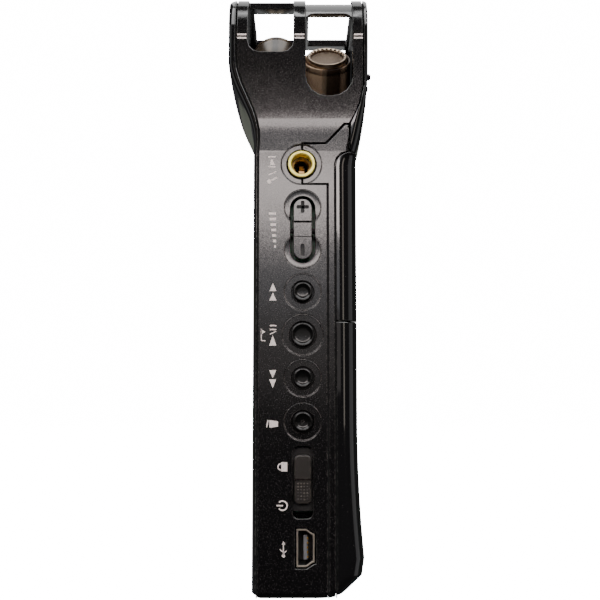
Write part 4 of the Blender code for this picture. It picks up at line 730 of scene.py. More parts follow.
ease(rear_panel, 0.15, 3, 35)

cover_z = np.concatenate([np.linspace(0.4, 4.3, 12), np.linspace(4.5, HEEL_Z, 8),
                          np.linspace(9.5, 36, 20), np.linspace(39, 60.2, 9)])
cover_depth = back_depth(cover_z)
cover_radius = np.minimum(4.6, cover_depth - 3.4)
cover_edge = np.minimum(COVER_EDGE_Y, cover_depth - 0.4)
battery_mesh = cover_mesh("battery_cover_skin", cover_z, cover_edge, cover_depth, cover_radius, 1, 1.3)
battery_cover = add_piece("battery_cover_skin", battery_mesh, gloss, "battery_cover", "battery_cover",
                          "battery_cover")
ease(battery_cover, 0.15, 3, 35)

head_z = np.concatenate([np.linspace(99.1, 128.1, 64), shoulder_levels[:-2]])
seam_heights = (HEAD_SEAM_Z, 109.97, 114.54)
head_edge = np.interp(head_z, seam_heights, (11.7, 13.9, 14.9))
head_radius = eased_steps(head_z, back_heights, back_radii)
head_mesh = cover_mesh("head_back_skin", head_z, head_edge, back_depth(head_z), head_radius, 1, 3.0)
head_back = add_piece("head_back_skin", head_mesh, gloss, CASE, "head_rear_cover", "head_rear_cover")
HEAD_SWITCHES = {"low_cut_switch": -9.0, "auto_level_switch": 0.0, "format_switch": 9.0}
HEAD_SWITCH_Z = 120.5
switch_slots = []
for x in HEAD_SWITCHES.values():
    outline = rounded_outline((x + 0.8, HEAD_SWITCH_Z), 4.5, 2.1, 0.3, 4)
    switch_slots.append(slab("switch_slot", outline, "Y", 5, 25))
carve(head_back, switch_slots)
ease(head_back, 0.12, 2, 35)


# ---------------------------------------------------------------- lips in the seams
# Thin lips close the hairline gaps between the mouldings on both sides, a little under the
# surface, so that no light passes the joints. Their near-black matt colour is painted shade in the gaps.
LIP_INNER_X = 19.5
LIP_X = 20.85
GLOSSY_LIP_X = 20.7
TAB_LIP_X = 20.35
LIP_WIDE = 0.26


def join_meshes(first, *others):
    """One mesh from several."""
    shape = bmesh.new()
    for mesh in (first, *others):
        shape.from_mesh(mesh)
    shape.to_mesh(first)
    shape.free()
    return first


def bar(y_low, z_low, y_high, z_high):
    """A rectangle."""
    return [(y_low, z_low), (y_high, z_low), (y_high, z_high), (y_low, z_high)]


def lip_pair(outline, reach):
    """The same lip at both sides of the case."""
    return [slab("lip", outline, "X", side * LIP_INNER_X, side * reach) for side in (1, -1)]


def soft_rubber(name, colour):
    """Matt rubber or soft plastic with a fine pitted skin and grey dust."""
    return plastic(name, colour, 0.62, tuple(3 * part for part in colour), 0.2, 0.6, 0.3)[0]


# Painted shade: the lips are coloured near black so that the seams read dark.
seam_shade_black = soft_rubber("seam_shade_black", (0.004, 0.004, 0.004))
seam_shade_black.node_tree.nodes["Principled BSDF"].inputs["Specular IOR Level"].default_value = 0.15
lip_z = np.concatenate([[0.15], np.linspace(90, 128, 20)])
lip_edge = -np.interp(lip_z, edge_heights, edge_depths)
front_lip = np.concatenate([np.stack([lip_edge + 0.02, lip_z], -1),
                            np.stack([lip_edge + 0.02 + LIP_WIDE, lip_z], -1)[::-1]])
for name, outline, reach, slot in (
        ("front_seam_lip", front_lip, LIP_X, "front_shell"),
        ("side_seam_lip", bar(6.32, 0.15, 6.32 + LIP_WIDE, 90.5), LIP_X, "rear_shell"),
        ("glossy_seam_lip", bar(8.02, 0.2, 8.02 + LIP_WIDE, 94.0), GLOSSY_LIP_X, "rear_shell")):
    add_piece(name, join_meshes(*lip_pair(outline, reach)), seam_shade_black, CASE, slot)
tab_lips = []
for low in (91.32, 100.72):
    tab_lips += lip_pair(bar(0.6, low, 6.2, low + LIP_WIDE), TAB_LIP_X)
for low, high in ((91.2, 93.1), (98.9, 100.9)):
    tab_lips += lip_pair(bar(0.57, low, 0.57 + LIP_WIDE, high), TAB_LIP_X)
add_piece("tab_lips", join_meshes(*tab_lips), seam_shade_black, CASE, "rear_shell")


# ---------------------------------------------------------------- microphones
# Two nickel-plated capsules crossed at a right angle, each crimped into a drawn sleeve behind a
# woven disc. A rubber cradle on the floor of the bay holds both sleeves.
MIC_PLACES = {"front": (-0.5, -5.75, -1), "rear": (0.5, 7.0, 1)}
MIC_RIM_Z = 129.0
MIC_TILT = math.pi / 4
NICKEL = (0.34, 0.27, 0.21)
RIM_NICKEL = (0.46, 0.37, 0.28)
TARNISH = (0.24, 0.17, 0.11)
WEAVE_PITCH = 0.26

# Turning and drawing marks: fine lines stretched one way, with a cloudy tarnish.
drawn_marks, ends, out = new_group("drawn_marks", {"Lines": 2500.0, "Depth": 0.08}, {},
                                   {"Roughness": "Float", "Tarnish": "Float", "Height": "Float"})
lines = noise(drawn_marks, ends.outputs["Lines"], 2.0, (0.05, 0.05, 1.0))
line_rough = math_node(drawn_marks, "MULTIPLY", lines, ends.outputs["Depth"])
drawn_marks.links.new(line_rough, out.inputs["Roughness"])
drawn_marks.links.new(lines, out.inputs["Height"])
dull_cloud = spread(drawn_marks, noise(drawn_marks, 350.0, 5.0), 0.45, 0.75, 0.0, 1.0)
drawn_marks.links.new(dull_cloud, out.inputs["Tarnish"])


def bare_metal(name, colour, tarnish, roughness):
    """A plated or machined metal with drawn lines, tarnish and bright rubbed edges."""
    material, shader = new_material(name, colour, roughness, 1.0)
    tree = material.node_tree
    marks = use_group(material, drawn_marks)
    rough = math_node(tree, "ADD", marks.outputs["Roughness"], roughness)
    tree.links.new(rough, shader.inputs["Roughness"])
    dull = blend_colour(tree, math_node(tree, "MULTIPLY", marks.outputs["Tarnish"], 0.6), colour, tarnish)
    wear_edges(material, shader, dull, tuple(min(1, 1.25 * part) for part in colour), 0.6)
    add_bump(tree, marks.outputs["Height"], shader, 0.0001, 0.02)
    return material


def woven_disc(name, side):
    """Wire cloth: two crossed waves make the wires, dark where both dip."""
    material, shader = new_material(name, NICKEL, 0.4, 0.8)
    tree = material.node_tree
    mapping = tree.nodes.new("ShaderNodeMapping")
    mapping.inputs["Rotation"].default_value = (0, -side * MIC_TILT, 0)
    tree.links.new(tree.nodes.new("ShaderNodeTexCoord").outputs["Object"], mapping.inputs["Vector"])
    heights = []
    for direction in ("X", "Y"):
        wires = tree.nodes.new("ShaderNodeTexWave")
        wires.bands_direction = direction
        wires.inputs["Scale"].default_value = 0.314 / (WEAVE_PITCH * MM)
        tree.links.new(mapping.outputs[0], wires.inputs["Vector"])
        heights.append(wires.outputs["Fac"])
    cloth = math_node(tree, "MAXIMUM", *heights)
    wire_colour = blend_colour(tree, cloth, (0.02, 0.015, 0.012), (0.24, 0.18, 0.13))
    tree.links.new(wire_colour, shader.inputs["Base Color"])
    add_bump(tree, cloth, shader, 0.0002, 0.6)
    return material


def crimped(name, profile, place, tilt, teeth_rows, depth, count=24, segments=240):
    """A turned form whose chosen rings bulge outwards in a row of square notches."""
    mesh = turned(name, profile, (0, 0, 0), segments=segments)
    points = mesh_points(mesh).reshape(-1, segments, 3)
    angle = np.linspace(0, 2 * np.pi, segments, endpoint=False)
    wave = np.tanh(6 * np.cos(count * angle)) * 0.5 + 0.5
    radius = np.hypot(points[teeth_rows, :, 0], points[teeth_rows, :, 1])
    grown = 1 + depth * MM * wave[None, :] / radius
    points[teeth_rows, :, :2] *= grown[:, :, None]
    turn = np.array(Matrix.Rotation(tilt, 3, "Y"))
    moved = points.reshape(-1, 3) @ turn.T + np.array(place) * MM
    mesh.vertices.foreach_set("co", moved.ravel())
    mesh.update()
    return mesh


def sleeve_with_painted_reflections(name, dark, light):
    """Drawn nickel with painted reflections: broad upright bands of dark and light laid into its colour."""
    material = bare_metal(name, NICKEL, TARNISH, 0.34)
    tree = material.node_tree
    shader = tree.nodes["Principled BSDF"]
    # Painted reflection: upright bands of light and dark stand in for the mirrored table and room.
    bands = spread(tree, noise(tree, 330.0, 1.0, (0.02, 1.0, 0.02)), 0.44, 0.58, 0.0, 1.0)
    tree.links.new(blend_colour(tree, bands, dark, light), shader.inputs["Base Color"])
    shader.inputs["Metallic"].default_value = 0.35
    return material


def eased_node(node, material, body=CASE, width=0.1, segments=2):
    """A CAD node's form with its edges rounded, in place of the node."""
    ease(add_piece(node + "_skin", clean_copy(node), material, body, node, node), width, segments)


# Painted light: the front sleeve takes dark tones as painted shade, the rear one light tones as painted
# sheen.
SLEEVE_LIGHT_AND_SHADE = {"front": ((0.02, 0.014, 0.009), (0.12, 0.088, 0.055)),
                "rear": ((0.05, 0.032, 0.020), (0.55, 0.40, 0.27))}
rim_nickel = bare_metal("crimped_rim", RIM_NICKEL, (0.40, 0.30, 0.22), 0.26)
sleeve_profile = [
    (5.7, -13.0), (5.92, -12.9), (6.0, -12.6), (6.0, -2.9), (5.9, -2.75), (5.9, -2.5), (6.0, -2.35),
    (6.0, -1.3), (5.94, -1.1), (5.78, -1.0), (5.6, -1.04), (5.45, -1.2), (5.4, -1.5), (5.4, -12.9)]
capsule_profile = [
    (0.01, -10.0), (4.9, -10.0), (5.05, -9.8), (5.05, -0.75), (5.0, -0.55), (5.0, -0.25), (4.92, -0.08),
    (4.75, 0.0), (4.52, -0.03), (4.34, -0.12), (4.22, -0.22), (4.22, -0.5), (4.3, -0.55), (4.3, -1.5),
    (0.01, -1.5)]
disc_profile = [(0.01, -1.2), (4.15, -1.2), (4.2, -1.0), (4.1, -0.86), (2.0, -0.80), (0.01, -0.78)]
CRIMPED_RINGS = [9, 10, 11]
CRIMP_DEPTH = 0.3
for label, (x, y, side) in MIC_PLACES.items():
    place = (x, y, MIC_RIM_Z)
    tilt = side * MIC_TILT
    sleeve_mesh = turned("sleeve", sleeve_profile, place, (0, tilt, 0), 128, True)
    sleeve_nickel = sleeve_with_painted_reflections("nickel_painted_light_" + label, *SLEEVE_LIGHT_AND_SHADE[label])
    add_piece("mic_sleeve_" + label + "_turned", sleeve_mesh, sleeve_nickel, CASE,
              "mic_sleeve_" + label, "mic_sleeve_" + label)
    capsule_mesh = crimped("capsule", capsule_profile, place, tilt, CRIMPED_RINGS, CRIMP_DEPTH)
    add_piece("mic_capsule_" + label + "_turned", capsule_mesh, rim_nickel, CASE,
              "mic_capsule_" + label, "mic_capsule_" + label)
    add_piece("mic_grille_" + label + "_woven", turned("grille", disc_profile, place, (0, tilt, 0), 96),
              woven_disc("wire_cloth_" + label, side), CASE,
              "mic_grille_" + label, "mic_grille_" + label)


rubber = soft_rubber("cradle_rubber", (0.02, 0.02, 0.02))
eased_node("mic_cradle", rubber, width=0.3)


# ---------------------------------------------------------------- jacks
# A turned brass bush, gilt, is pressed into the wall on each side; behind it sits the black jack
# with a gilt barrel and a sprung contact leaf that shows through the hole.
gilt = bare_metal("gilt_brass", (0.92, 0.83, 0.24), (0.55, 0.36, 0.10), 0.36)
barrel_gilt = bare_metal("barrel_gilt", (0.50, 0.33, 0.12), (0.20, 0.11, 0.03), 0.30)
contact_bronze = bare_metal("contact_bronze", (0.62, 0.40, 0.20), (0.35, 0.20, 0.08), 0.42)
jack_plastic = soft_rubber("jack_plastic", (0.015, 0.014, 0.014))
dress_nodes = {}  # CAD nodes that keep their form and only take a finish
bush_profile = [
    (2.95, -2.2), (3.1, -2.05), (3.1, 0.12), (3.04, 0.24), (2.92, 0.3), (2.5, 0.3), (2.34, 0.2),
    (2.25, 0.02), (2.25, -2.2)]
barrel_profile = [(1.78, -9.0), (1.78, -2.7), (2.2, -2.45), (2.2, -2.25), (1.75, -2.45), (1.55, -2.9),
                  (1.55, -9.0)]
LEAF_ROOT_X = 17.9
LEAF_LENGTH = 6.5
LEAF_THICK = 0.55
LEAF_HUMP = 1.6
for name, side in (("line_in", 1), ("phones", -1)):
    place = (side * SIDE_X, SOCKET_Y, JACK_Z)
    turn = (0, side * math.pi / 2, 0)
    add_piece(name + "_bush_turned", turned("bush", bush_profile, place, turn, 96, True), gilt, CASE,
              name + "_bush", name + "_bush")
    add_piece(name + "_barrel", turned("barrel", barrel_profile, place, turn, 64, True), barrel_gilt,
              CASE, name + "_bush")
    rise = np.linspace(0, 1, 15)
    leaf_x = side * (LEAF_ROOT_X - LEAF_LENGTH * rise)
    leaf_z = JACK_Z - 0.95 + LEAF_HUMP * np.exp(-((rise - 0.22) / 0.13) ** 2)
    leaf = np.concatenate([np.stack([leaf_x, leaf_z], -1),
                           np.stack([leaf_x, leaf_z - LEAF_THICK], -1)[::-1]])
    add_piece(name + "_contact_leaf", slab("leaf", leaf, "Y", -0.05, 1.15), contact_bronze, CASE,
              name + "_bush")
    dress_nodes[name + "_jack"] = jack_plastic


# ---------------------------------------------------------------- rockers
# Two lacquered rockers, level on the right and volume on the left, rock on a cross pin. A plus and
# a minus are pressed into their ends, and the middle lies lower between two grooves.
ROCKER_FACE_X = 21.5
ROCKER_ROOT_X = 18.3
ROCKER_SIZE = (4.1, 13.7)
PIN_X = 18.5
PIN_R = 0.6
PIN_REACH = 3.3
DIP_HALF = 1.8
DIP_DEEP = 0.4
GROOVE_DEEP = 0.8
SIGN_DEEP = 0.35
SIGN_LOBE = 4.8
SIGN_ARM = (0.65, 2.6)


def stadium(centre, width, length, steps=14):
    """A slot outline, upright: two half circles joined by straight sides."""
    radius = width / 2
    reach = length / 2 - radius
    swing = np.radians(np.linspace(0, 180, steps + 1))
    top = np.stack([centre[0] + radius * np.cos(swing), centre[1] + reach + radius * np.sin(swing)], -1)
    return np.concatenate([top, np.stack([centre[0] - radius * np.cos(swing),
                                          centre[1] - reach - radius * np.sin(swing)], -1)])


for name, side in (("level_rocker", 1), ("volume_rocker", -1)):
    y, z = CONTROL_Y, ROCKER_Z
    face_x = side * ROCKER_FACE_X
    out_of = face_x + side
    sign_x = face_x - side * SIGN_DEEP
    body = slab(name, stadium((y, z), *ROCKER_SIZE), "X", side * ROCKER_ROOT_X, face_x)
    rocker = add_piece(name + "_moulded", body, satin, name, name, name)
    dip = bar(y - 4, z - DIP_HALF, y + 4, z + DIP_HALF)
    cutters = [slab("dip", dip, "X", face_x - side * DIP_DEEP, out_of)]
    for low, high in ((1.55, DIP_HALF), (-DIP_HALF, -1.68)):
        groove = rounded_outline((y, z + (low + high) / 2), 8, high - low, 0.05, 2)
        cutters.append(slab("groove", groove, "X", face_x - side * GROOVE_DEEP, out_of))
    plus_z, minus_z = z + SIGN_LOBE + 0.2, z - SIGN_LOBE
    floors = []
    for centre_z, (wide, tall) in ((plus_z, SIGN_ARM), (plus_z, SIGN_ARM[::-1]), (minus_z, SIGN_ARM)):
        arm = rounded_outline((y, centre_z), wide, tall, 0.12, 2)
        cutters.append(slab("arm", arm, "X", sign_x, out_of))
        # Painted shade: a dark matt floor lies in the bottom of each pressed sign so that it reads dark.
        floors.append(slab("floor", arm, "X", sign_x - side * 0.05, sign_x + side * 0.04))
    carve(rocker, cutters)
    ease(rocker, 0.09, 2, 30)
    pin = slab("pin", circle((side * PIN_X, z), PIN_R, 24), "Y", y - PIN_REACH, y + PIN_REACH)
    add_piece(name + "_pin", pin, rubber, name, name)
    add_piece(name + "_sign_floors_painted_shade", join_meshes(*floors), rubber, name, name)


# ---------------------------------------------------------------- round keys
# Four glossy caps in the right side: delete, rewind, play and forward. Each has a raised rim round
# a dished middle and a flange behind the wall; delete has a small pit so that a thumb can find it.
key_plastic, key_shader = plastic("key_plastic", (0.003, 0.003, 0.003), 0.10, (0.10, 0.09, 0.085))
key_shader.inputs["Specular IOR Level"].default_value = 0.35
for name, z in zip(("delete_button", "rewind_button", "play_button", "forward_button"), KEYS_Z):
    radius = 2.7 if name == "play_button" else 2.2
    centre = [(0.38, 0.27), (0.26, 0.12), (0.01, 0.10)] if name == "delete_button" else [(0.01, 0.27)]
    profile = [
        (0.01, -2.9), (radius + 0.7, -2.9), (radius + 0.7, -1.9), (radius, -1.9), (radius, 0.2),
        (radius - 0.05, 0.4), (radius - 0.16, 0.53), (radius - 0.34, 0.58), (radius - 0.52, 0.54),
        (radius - 0.66, 0.42), (radius - 0.85, 0.33), (radius - 1.3, 0.29), *centre]
    cap = turned(name, profile, (SIDE_X, CONTROL_Y, z), (0, math.pi / 2, 0), 72)
    add_piece(name + "_cap", cap, key_plastic, name, name, name)


# ---------------------------------------------------------------- power slider
# A satin knob that slides up to hold and down to switch on. Its upper half is smooth and stands
# higher; a field of dots on the lower half gives the thumb a grip.
SLIDER_Z = 25.55
KNOB_SIZE = (3.7, 10.5, 1.1)
CARRIER_SIZE = (6.4, 13.9, 0.6)
CARRIER_X = (18.1, 19.05)
KNOB_ROOT_X = 18.9
KNOB_FACE_X = 21.7
STEP_FACE_X = 21.4
DOT_PITCH = 0.68
DOT_ROWS = 6
DOT_COLUMNS = 4
knob_outline = rounded_outline((CONTROL_Y, SLIDER_Z), *KNOB_SIZE)
knob_mesh = slab("power_knob", knob_outline, "X", KNOB_ROOT_X, KNOB_FACE_X)
knob_satin, _ = plastic("knob_satin", (0.016, 0.013, 0.011), 0.30, (0.22, 0.19, 0.16), 0.6, 0.5)
knob = add_piece("power_slider_knob", knob_mesh, knob_satin, "power_slider", "power_slider",
                 "power_slider")
carve(knob, [slab("step", bar(-3, SLIDER_Z - 8, 5, SLIDER_Z), "X", STEP_FACE_X, 24)])
ease(knob, 0.22, 3, 30)
carrier = slab("power_carrier", rounded_outline((CONTROL_Y, SLIDER_Z), *CARRIER_SIZE), "X", *CARRIER_X)
add_piece("power_slider_carrier", carrier, jack_plastic, "power_slider", "power_slider")
dot_profile = [(0.01, -0.1), (0.2, -0.1), (0.2, 0.04), (0.14, 0.1), (0.01, 0.12)]
dots = []
for row in range(DOT_ROWS):
    for column in range(DOT_COLUMNS):
        dot_y = CONTROL_Y + (column - 1.5) * DOT_PITCH
        dot_z = SLIDER_Z - 0.9 - row * DOT_PITCH
        dots.append(turned("dot", dot_profile, (STEP_FACE_X, dot_y, dot_z), (0, math.pi / 2, 0), 16))
add_piece("power_slider_dots", join_meshes(*dots), knob_satin, "power_slider", "power_slider")


# ---------------------------------------------------------------- small socket at the foot
# A bent steel shell round a black tongue that carries five gilt contacts. The steel is bright at
# its mouth, and its colour is painted dark inside as painted shade.
CONTACT_PITCH = 1.0
CONTACT_LENGTH = 4.0


def object_axes(group):
    """Object coordinates as three separate outputs."""
    axes = group.nodes.new("ShaderNodeSeparateXYZ")
    group.links.new(group.nodes.new("ShaderNodeTexCoord").outputs["Object"], axes.inputs[0])
    return axes.outputs


steel = bare_metal("bright_steel", (0.66, 0.64, 0.62), (0.30, 0.26, 0.22), 0.2)
socket_steel, socket_shader = new_material("socket_steel", (0.6, 0.58, 0.56), 0.4, 0.4)
tree = socket_steel.node_tree
mouth_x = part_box("usb_shell")[1][0]
# Painted shade: the steel's colour turns near black a little way in from the mouth.
at_mouth = spread(tree, object_axes(tree)["X"], mouth_x - 0.16 * MM, mouth_x - 0.06 * MM, 0.0, 1.0)
lit_steel = blend_colour(tree, noise(tree, 900.0, 4.0), (0.17, 0.15, 0.12), (0.33, 0.29, 0.24))
steel_with_painted_shade = blend_colour(tree, at_mouth, (0.035, 0.033, 0.032), lit_steel)
tree.links.new(steel_with_painted_shade, socket_shader.inputs["Base Color"])
eased_node("usb_shell", socket_steel, width=0.12, segments=3)
eased_node("usb_tongue", soft_rubber("tongue_plastic", (0.13, 0.13, 0.14)))
tongue_low, tongue_end = np.array(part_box("usb_tongue")) / MM
tongue_z = (tongue_low[2] + tongue_end[2]) / 2
contacts = []
for number in range(5):
    centre = (tongue_end[1] - 0.02, tongue_z + (number - 2) * CONTACT_PITCH)
    contacts.append(slab("contact", rounded_outline(centre, 0.34, 0.5, 0.05, 2), "X",
                         tongue_end[0] - CONTACT_LENGTH, tongue_end[0] + 0.03))
add_piece("usb_contacts", join_meshes(*contacts), barrel_gilt, CASE, "usb_shell")


# ---------------------------------------------------------------- card door and strap pin
# On the left a small lacquered door on a film hinge covers the memory card's steel socket, and a
# steel pin crosses the slot for the strap near the foot.
eased_node("card_door", satin, "card_door", 0.15)
eased_node("card_socket", steel)
eased_node("memory_card", soft_rubber("card_plastic", (0.03, 0.03, 0.035)))
eased_node("strap_pin", steel, width=0.08)


# ---------------------------------------------------------------- display
# A liquid crystal module behind a hard clear window whose border is printed black from inside.
# The glass shows two level bars, a row of marks and a clock of plain digits.
window_clear, window_shader = plastic("window_clear", PIANO_BLACK, 0.03, (0.10, 0.10, 0.10), 0.3, 0.2)
tree = window_clear.node_tree
place = object_axes(tree)
across = math_node(tree, "ABSOLUTE", place["X"], 0.0)
upward = math_node(tree, "SUBTRACT", place["Z"], SCREEN_Z * MM)
upward = math_node(tree, "ABSOLUTE", upward, 0.0)
opening = math_node(tree, "MULTIPLY", spread(tree, across, 0.0130, 0.0131, 0.85, 0.0),
                    spread(tree, upward, 0.0095, 0.0096, 1.0, 0.0))
see_through = tree.nodes.new("ShaderNodeBsdfTransparent")
window_mix = tree.nodes.new("ShaderNodeMixShader")
tree.links.new(opening, window_mix.inputs["Fac"])
tree.links.new(window_shader.outputs[0], window_mix.inputs[1])
tree.links.new(see_through.outputs[0], window_mix.inputs[2])
tree.links.new(window_mix.outputs[0], tree.nodes["Material Output"].inputs["Surface"])
eased_node("display_window", window_clear, width=0.2)
lcd_glass, lcd_shader = plastic("lcd_glass", (0.30, 0.34, 0.28), 0.10, (0.4, 0.44, 0.38), 0.3)
lcd_shader.inputs["Emission Color"].default_value = (0.62, 0.70, 0.50, 1)  # lit from behind
lcd_shader.inputs["Emission Strength"].default_value = 0.55
dress_nodes["display_module"] = lcd_glass
lcd_ink, _ = plastic("lcd_ink", (0.012, 0.014, 0.016), 0.35, (0.05, 0.05, 0.05), 0.2, 0.1)
DIGIT_WIDE = 2.0
DIGIT_TALL = 3.4
PEN = 0.42
CLOCK_Z = SCREEN_Z + 3.2
BARS_X = -10.2
lcd_marks = []


def lcd_mark(x, z, width, height, radius=0.1):
    """Draw one dark mark of the display."""
    lcd_marks.append(rounded_outline((x, z), width, height, radius, 2))


for row_z in (SCREEN_Z - 3.2, SCREEN_Z - 6.2):
    for step in range(18):
        lcd_mark(BARS_X + step * 1.2, row_z, 0.9, 1.6)
for step in range(7):
    lcd_mark(BARS_X + step * 3.4, SCREEN_Z - 4.7, 0.3, 0.7, 0.05)
for number in range(6):
    x = -10.0 + number * 3.0 + 1.4 * (number // 2)
    for side in (-1, 1):
        lcd_mark(x + side * DIGIT_WIDE / 2, CLOCK_Z, PEN, DIGIT_TALL)
        lcd_mark(x, CLOCK_Z + side * DIGIT_TALL / 2, DIGIT_WIDE - 0.5, PEN)
        if number in (1, 3):
            lcd_mark(x + 2.2, CLOCK_Z + side * 0.8, PEN, PEN)
lcd_mark(9.3, SCREEN_Z + 7.6, 3.2, 1.6, 0.2)
lcd_mark(11.2, SCREEN_Z + 7.6, 0.4, 0.8, 0.05)
lcd_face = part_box("display_module")[0][1] / MM
segments = [slab("segment", outline, "Y", lcd_face - 0.03, lcd_face + 0.05) for outline in lcd_marks]
add_piece("lcd_marks", join_meshes(*segments), lcd_ink, CASE, "display_module")


# ---------------------------------------------------------------- record button and lamp
# A wide red key with a dished face on the front, and a small red lamp high on the front plate.
red_plastic, _ = plastic("red_plastic", (0.40, 0.012, 0.010), 0.2, (0.7, 0.2, 0.15), 0.5, 0.4)
record_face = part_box("record_button")[0][1] / MM
record_profile = [
    (0.01, -2.0), (6.9, -2.0), (6.9, -1.65), (6.2, -1.65), (6.2, -0.35), (6.1, -0.12), (5.8, 0.0),
    (5.3, -0.02), (4.6, -0.12), (2.5, -0.2), (0.01, -0.22)]
record_cap = turned("record", record_profile, (0, record_face, RECORD_Z), (math.pi / 2, 0, 0), 96)
add_piece("record_key_cap", record_cap, red_plastic, "record_button", "record_button", "record_button")
eased_node("record_lamp", red_plastic, width=0.15, segments=3)


# ---------------------------------------------------------------- head switches
# Three small slide switches in the back of the head: low cut, auto level and format.
for name in HEAD_SWITCHES:
    eased_node(name, key_plastic, name)


# ---------------------------------------------------------------- speaker and tripod bush
# A paper-cone speaker looks out through the slots; below it a brass bush takes a tripod screw.
THREAD_PITCH = 1.27
paper = soft_rubber("speaker_paper", (0.03, 0.028, 0.026))
speaker_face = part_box("speaker")[1][1] / MM
cone_profile = [
    (0.01, -2.9), (7.3, -2.9), (7.45, -2.7), (7.45, -0.15), (7.3, 0.0), (6.9, -0.02), (6.6, -0.3),
    (6.3, -0.45), (6.0, -0.3), (5.7, -0.4), (2.2, -1.6), (2.0, -1.35), (1.2, -1.0), (0.01, -0.9)]
cone = turned("cone", cone_profile, (0, speaker_face, SPEAKER_Z), (-math.pi / 2, 0, 0), 96)
add_piece("speaker_cone", cone, paper, CASE, "speaker", "speaker")


def threaded_bush(name, outer, bore, length, place, segments=72, rows=80):
    """A ring whose bore rises and falls with height plus turn, which winds a vee thread."""
    turn = np.linspace(0, 2 * np.pi, segments, endpoint=False)[None, :]
    height = np.linspace(-length, -0.15, rows)[:, None]
    phase = (height / THREAD_PITCH + turn / (2 * np.pi)) % 1
    inner = bore - 0.34 + 0.62 * np.abs(phase - 0.5)
    plain = np.repeat([[bore + 0.15], [outer - 0.2], [outer], [outer]], segments, 1)
    rings = np.concatenate([inner, plain])
    levels = np.concatenate([height[:, 0], [0.0, 0.0, -0.2, -length]])
    points = np.stack([rings * np.cos(turn), rings * np.sin(turn), levels[:, None] + 0 * rings], -1)
    quads = ring_quads(len(levels), segments, True)
    lay = np.array(Matrix.Rotation(-math.pi / 2, 3, "X"))
    mesh = closed_mesh(name, points.reshape(-1, 3) @ lay.T + np.array(place), quads.tolist())
    mesh.shade_smooth()
    mesh.set_sharp_from_angle(angle=math.radians(40))
    return mesh


bush_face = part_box("tripod_bush")[1][1] / MM
brass = bare_metal("turned_brass", (0.80, 0.62, 0.30), (0.35, 0.22, 0.08), 0.24)
bush_mesh = threaded_bush("bush", 4.5, 3.18, 5.2, (0, bush_face, BUSH_Z))
add_piece("tripod_bush_threaded", bush_mesh, brass, CASE, "tripod_bush", "tripod_bush")


# ---------------------------------------------------------------- boards, switches, battery, screws
# Inside: green fibreglass boards, tact switches in steel cans, one round cell in a black wrap with
# a gold top, its steel contacts and plated spring, and small steel screws.
board_green, board_shader = new_material("board_laminate", (0.02, 0.14, 0.07), 0.35)
tree = board_green.node_tree
weave = spread(tree, noise(tree, 900.0, 2.0, (1.0, 1.0, 0.2)), 0.5, 0.53, 0.0, 1.0)
woven_green = blend_colour(tree, weave, (0.010, 0.09, 0.04), (0.03, 0.20, 0.09))
tree.links.new(woven_green, board_shader.inputs["Base Color"])
nickel = bare_metal("drawn_nickel", (0.46, 0.36, 0.28), TARNISH, 0.34)
cell_wrap, cell_shader = new_material("cell_wrap", (0.3, 0.31, 0.32), 0.25, 0.4)
tree = cell_wrap.node_tree
band = spread(tree, object_axes(tree)["Z"], 0.0400, 0.0402, 0.0, 1.0)
speckled = blend_colour(tree, noise(tree, 2500.0), (0.10, 0.10, 0.11), (0.16, 0.16, 0.17))
tree.links.new(blend_colour(tree, band, speckled, (0.55, 0.42, 0.20)), cell_shader.inputs["Base Color"])
for name in nodes:
    if name.endswith("board"):
        dress_nodes[name] = board_green
    elif name.endswith("switch") and name not in HEAD_SWITCHES or "screw" in name or "contact" in name:
        dress_nodes[name] = steel
    elif name == "battery_spring":
        dress_nodes[name] = nickel
    elif name == "battery_cell":
        dress_nodes[name] = cell_wrap
for name, finish in dress_nodes.items():
    nodes[name].data.materials.clear()
    nodes[name].data.materials.append(finish)


# ---------------------------------------------------------------- prints on the sides
# Pale symbols are pad-printed beside the controls and two fine lines cross each rib of the cage.
# They are plain symbols of the functions: no words stand on the case.
PRINT_LIFT = 0.02
PRINT_TONE = (0.85, 0.74, 0.70)
print_ink, ink_shader = new_material("print_ink", PRINT_TONE, 0.5)
tree = print_ink.node_tree
rubbed = spread(tree, noise(tree, 3000.0, 4.0), 0.55, 0.72, 0.0, 0.7)
tree.links.new(blend_colour(tree, rubbed, PRINT_TONE, (0.30, 0.26, 0.25)), ink_shader.inputs["Base Color"])


def stroke(start, end, width):
    """A straight line with a width."""
    start, end = np.array(start), np.array(end)
    along = (end - start) / np.linalg.norm(end - start)
    off = np.array([-along[1], along[0]]) * width / 2
    return [start + off, end + off, end - off, start - off]


def arc_band(centre, radius, width, start, end, steps=28):
    """Part of a ring between two angles in degrees."""
    angle = np.radians(np.linspace(start, end, steps))
    spoke = np.stack([np.cos(angle), np.sin(angle)], -1)
    outer = np.array(centre) + spoke * (radius + width / 2)
    inner = np.array(centre) + spoke[::-1] * (radius - width / 2)
    return np.concatenate([outer, inner])


def arrow(y, tail, tip, half=0.78):
    """A triangle that points from the height of its tail to that of its tip."""
    return [(y - half, tail), (y + half, tail), (y, tip)]


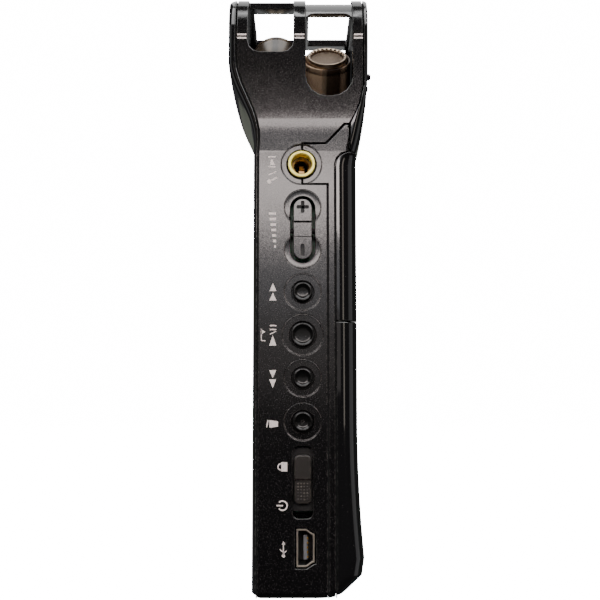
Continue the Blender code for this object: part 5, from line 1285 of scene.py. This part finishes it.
MARK_Y = -5.85
MARKS_FOOT = 0.7  # the heights of the marks are counted from here
marks = [
    # forward, then play with its pause bars
    arrow(MARK_Y, 66.38, 68.22), arrow(MARK_Y, 64.26, 66.09), arrow(MARK_Y, 54.19, 56.5),
    stroke((-6.5, 56.75), (-5.1, 57.35), 0.22), bar(-6.5, 57.62, -5.1, 57.93), bar(-6.5, 58.49, -5.1, 58.8),
    # rewind, then the bin
    arrow(MARK_Y, 48.76, 46.99), arrow(MARK_Y, 46.72, 44.81),
    [(-6.55, 36.1), (-6.55, 37.75), (-4.65, 37.5), (-4.65, 36.35)],
    stroke((-7.15, 36.2), (-6.85, 37.75), 0.3),
    # power and the padlock
    arc_band((-3.62, 19.23), 1.0, 0.3, -140, 140), stroke((-4.9, 19.23), (-3.5, 19.23), 0.3),
    bar(-3.9, 26.6, -2.6, 28.6), arc_band((-3.95, 27.6), 0.68, 0.26, 90, 270),
    # microphone and the arrow of the line input
    circle((-6.75, 91.35), 0.5, 24), stroke((-6.4, 91.55), (-4.95, 92.3), 0.42),
    stroke((-6.9, 92.9), (-5.2, 93.6), 0.24), bar(-7.0, 94.6, -5.35, 94.9), arrow(-6.18, 95.2, 96.6, 0.7),
    bar(-7.0, 96.9, -5.35, 97.2),
    # the flag of an index mark
    stroke((-8.4, 55.3), (-7.5, 55.3), 0.22), stroke((-8.4, 55.3), (-8.4, 57.9), 0.22),
    [(-8.55, 56.6), (-7.5, 57.25), (-8.55, 57.9)],
    # the three-pronged plug
    stroke((-3.4, 8.5), (-3.4, 11.2), 0.24), arrow(-3.4, 10.9, 11.6, 0.4), circle((-3.4, 8.5), 0.36, 20),
    stroke((-3.4, 9.2), (-4.2, 9.9), 0.2), stroke((-3.4, 9.0), (-2.7, 9.6), 0.2)]
for step in range(7):  # the level bar grows upwards
    marks.append(bar(-5.65 - step * 0.2, 76.2 + step * 1.25, -5.2, 76.75 + step * 1.25))
lifted_marks = [np.asarray(outline) + (0, MARKS_FOOT) for outline in marks]
symbol_meshes = [slab("mark", outline, "X", SIDE_X - 0.03, SIDE_X + PRINT_LIFT) for outline in lifted_marks]
add_piece("side_symbols", join_meshes(*symbol_meshes), print_ink, CASE, "front_shell")
RIB_SPANS = ((-14.2, -12.1), (-1.0, 1.2), (12.6, 14.6))
RIB_LINES_Z = (125.5, 126.3)
RIB_LINES_X = (21.55, 21.606)
rib_lines = []
for side in (1, -1):
    for low, high in RIB_SPANS:
        for z in RIB_LINES_Z:
            line = bar(low, z - 0.2, high, z + 0.2)
            rib_lines.append(slab("line", line, "X", side * RIB_LINES_X[0], side * RIB_LINES_X[1]))
add_piece("rib_lines", join_meshes(*rib_lines), print_ink, CASE, "front_shell")
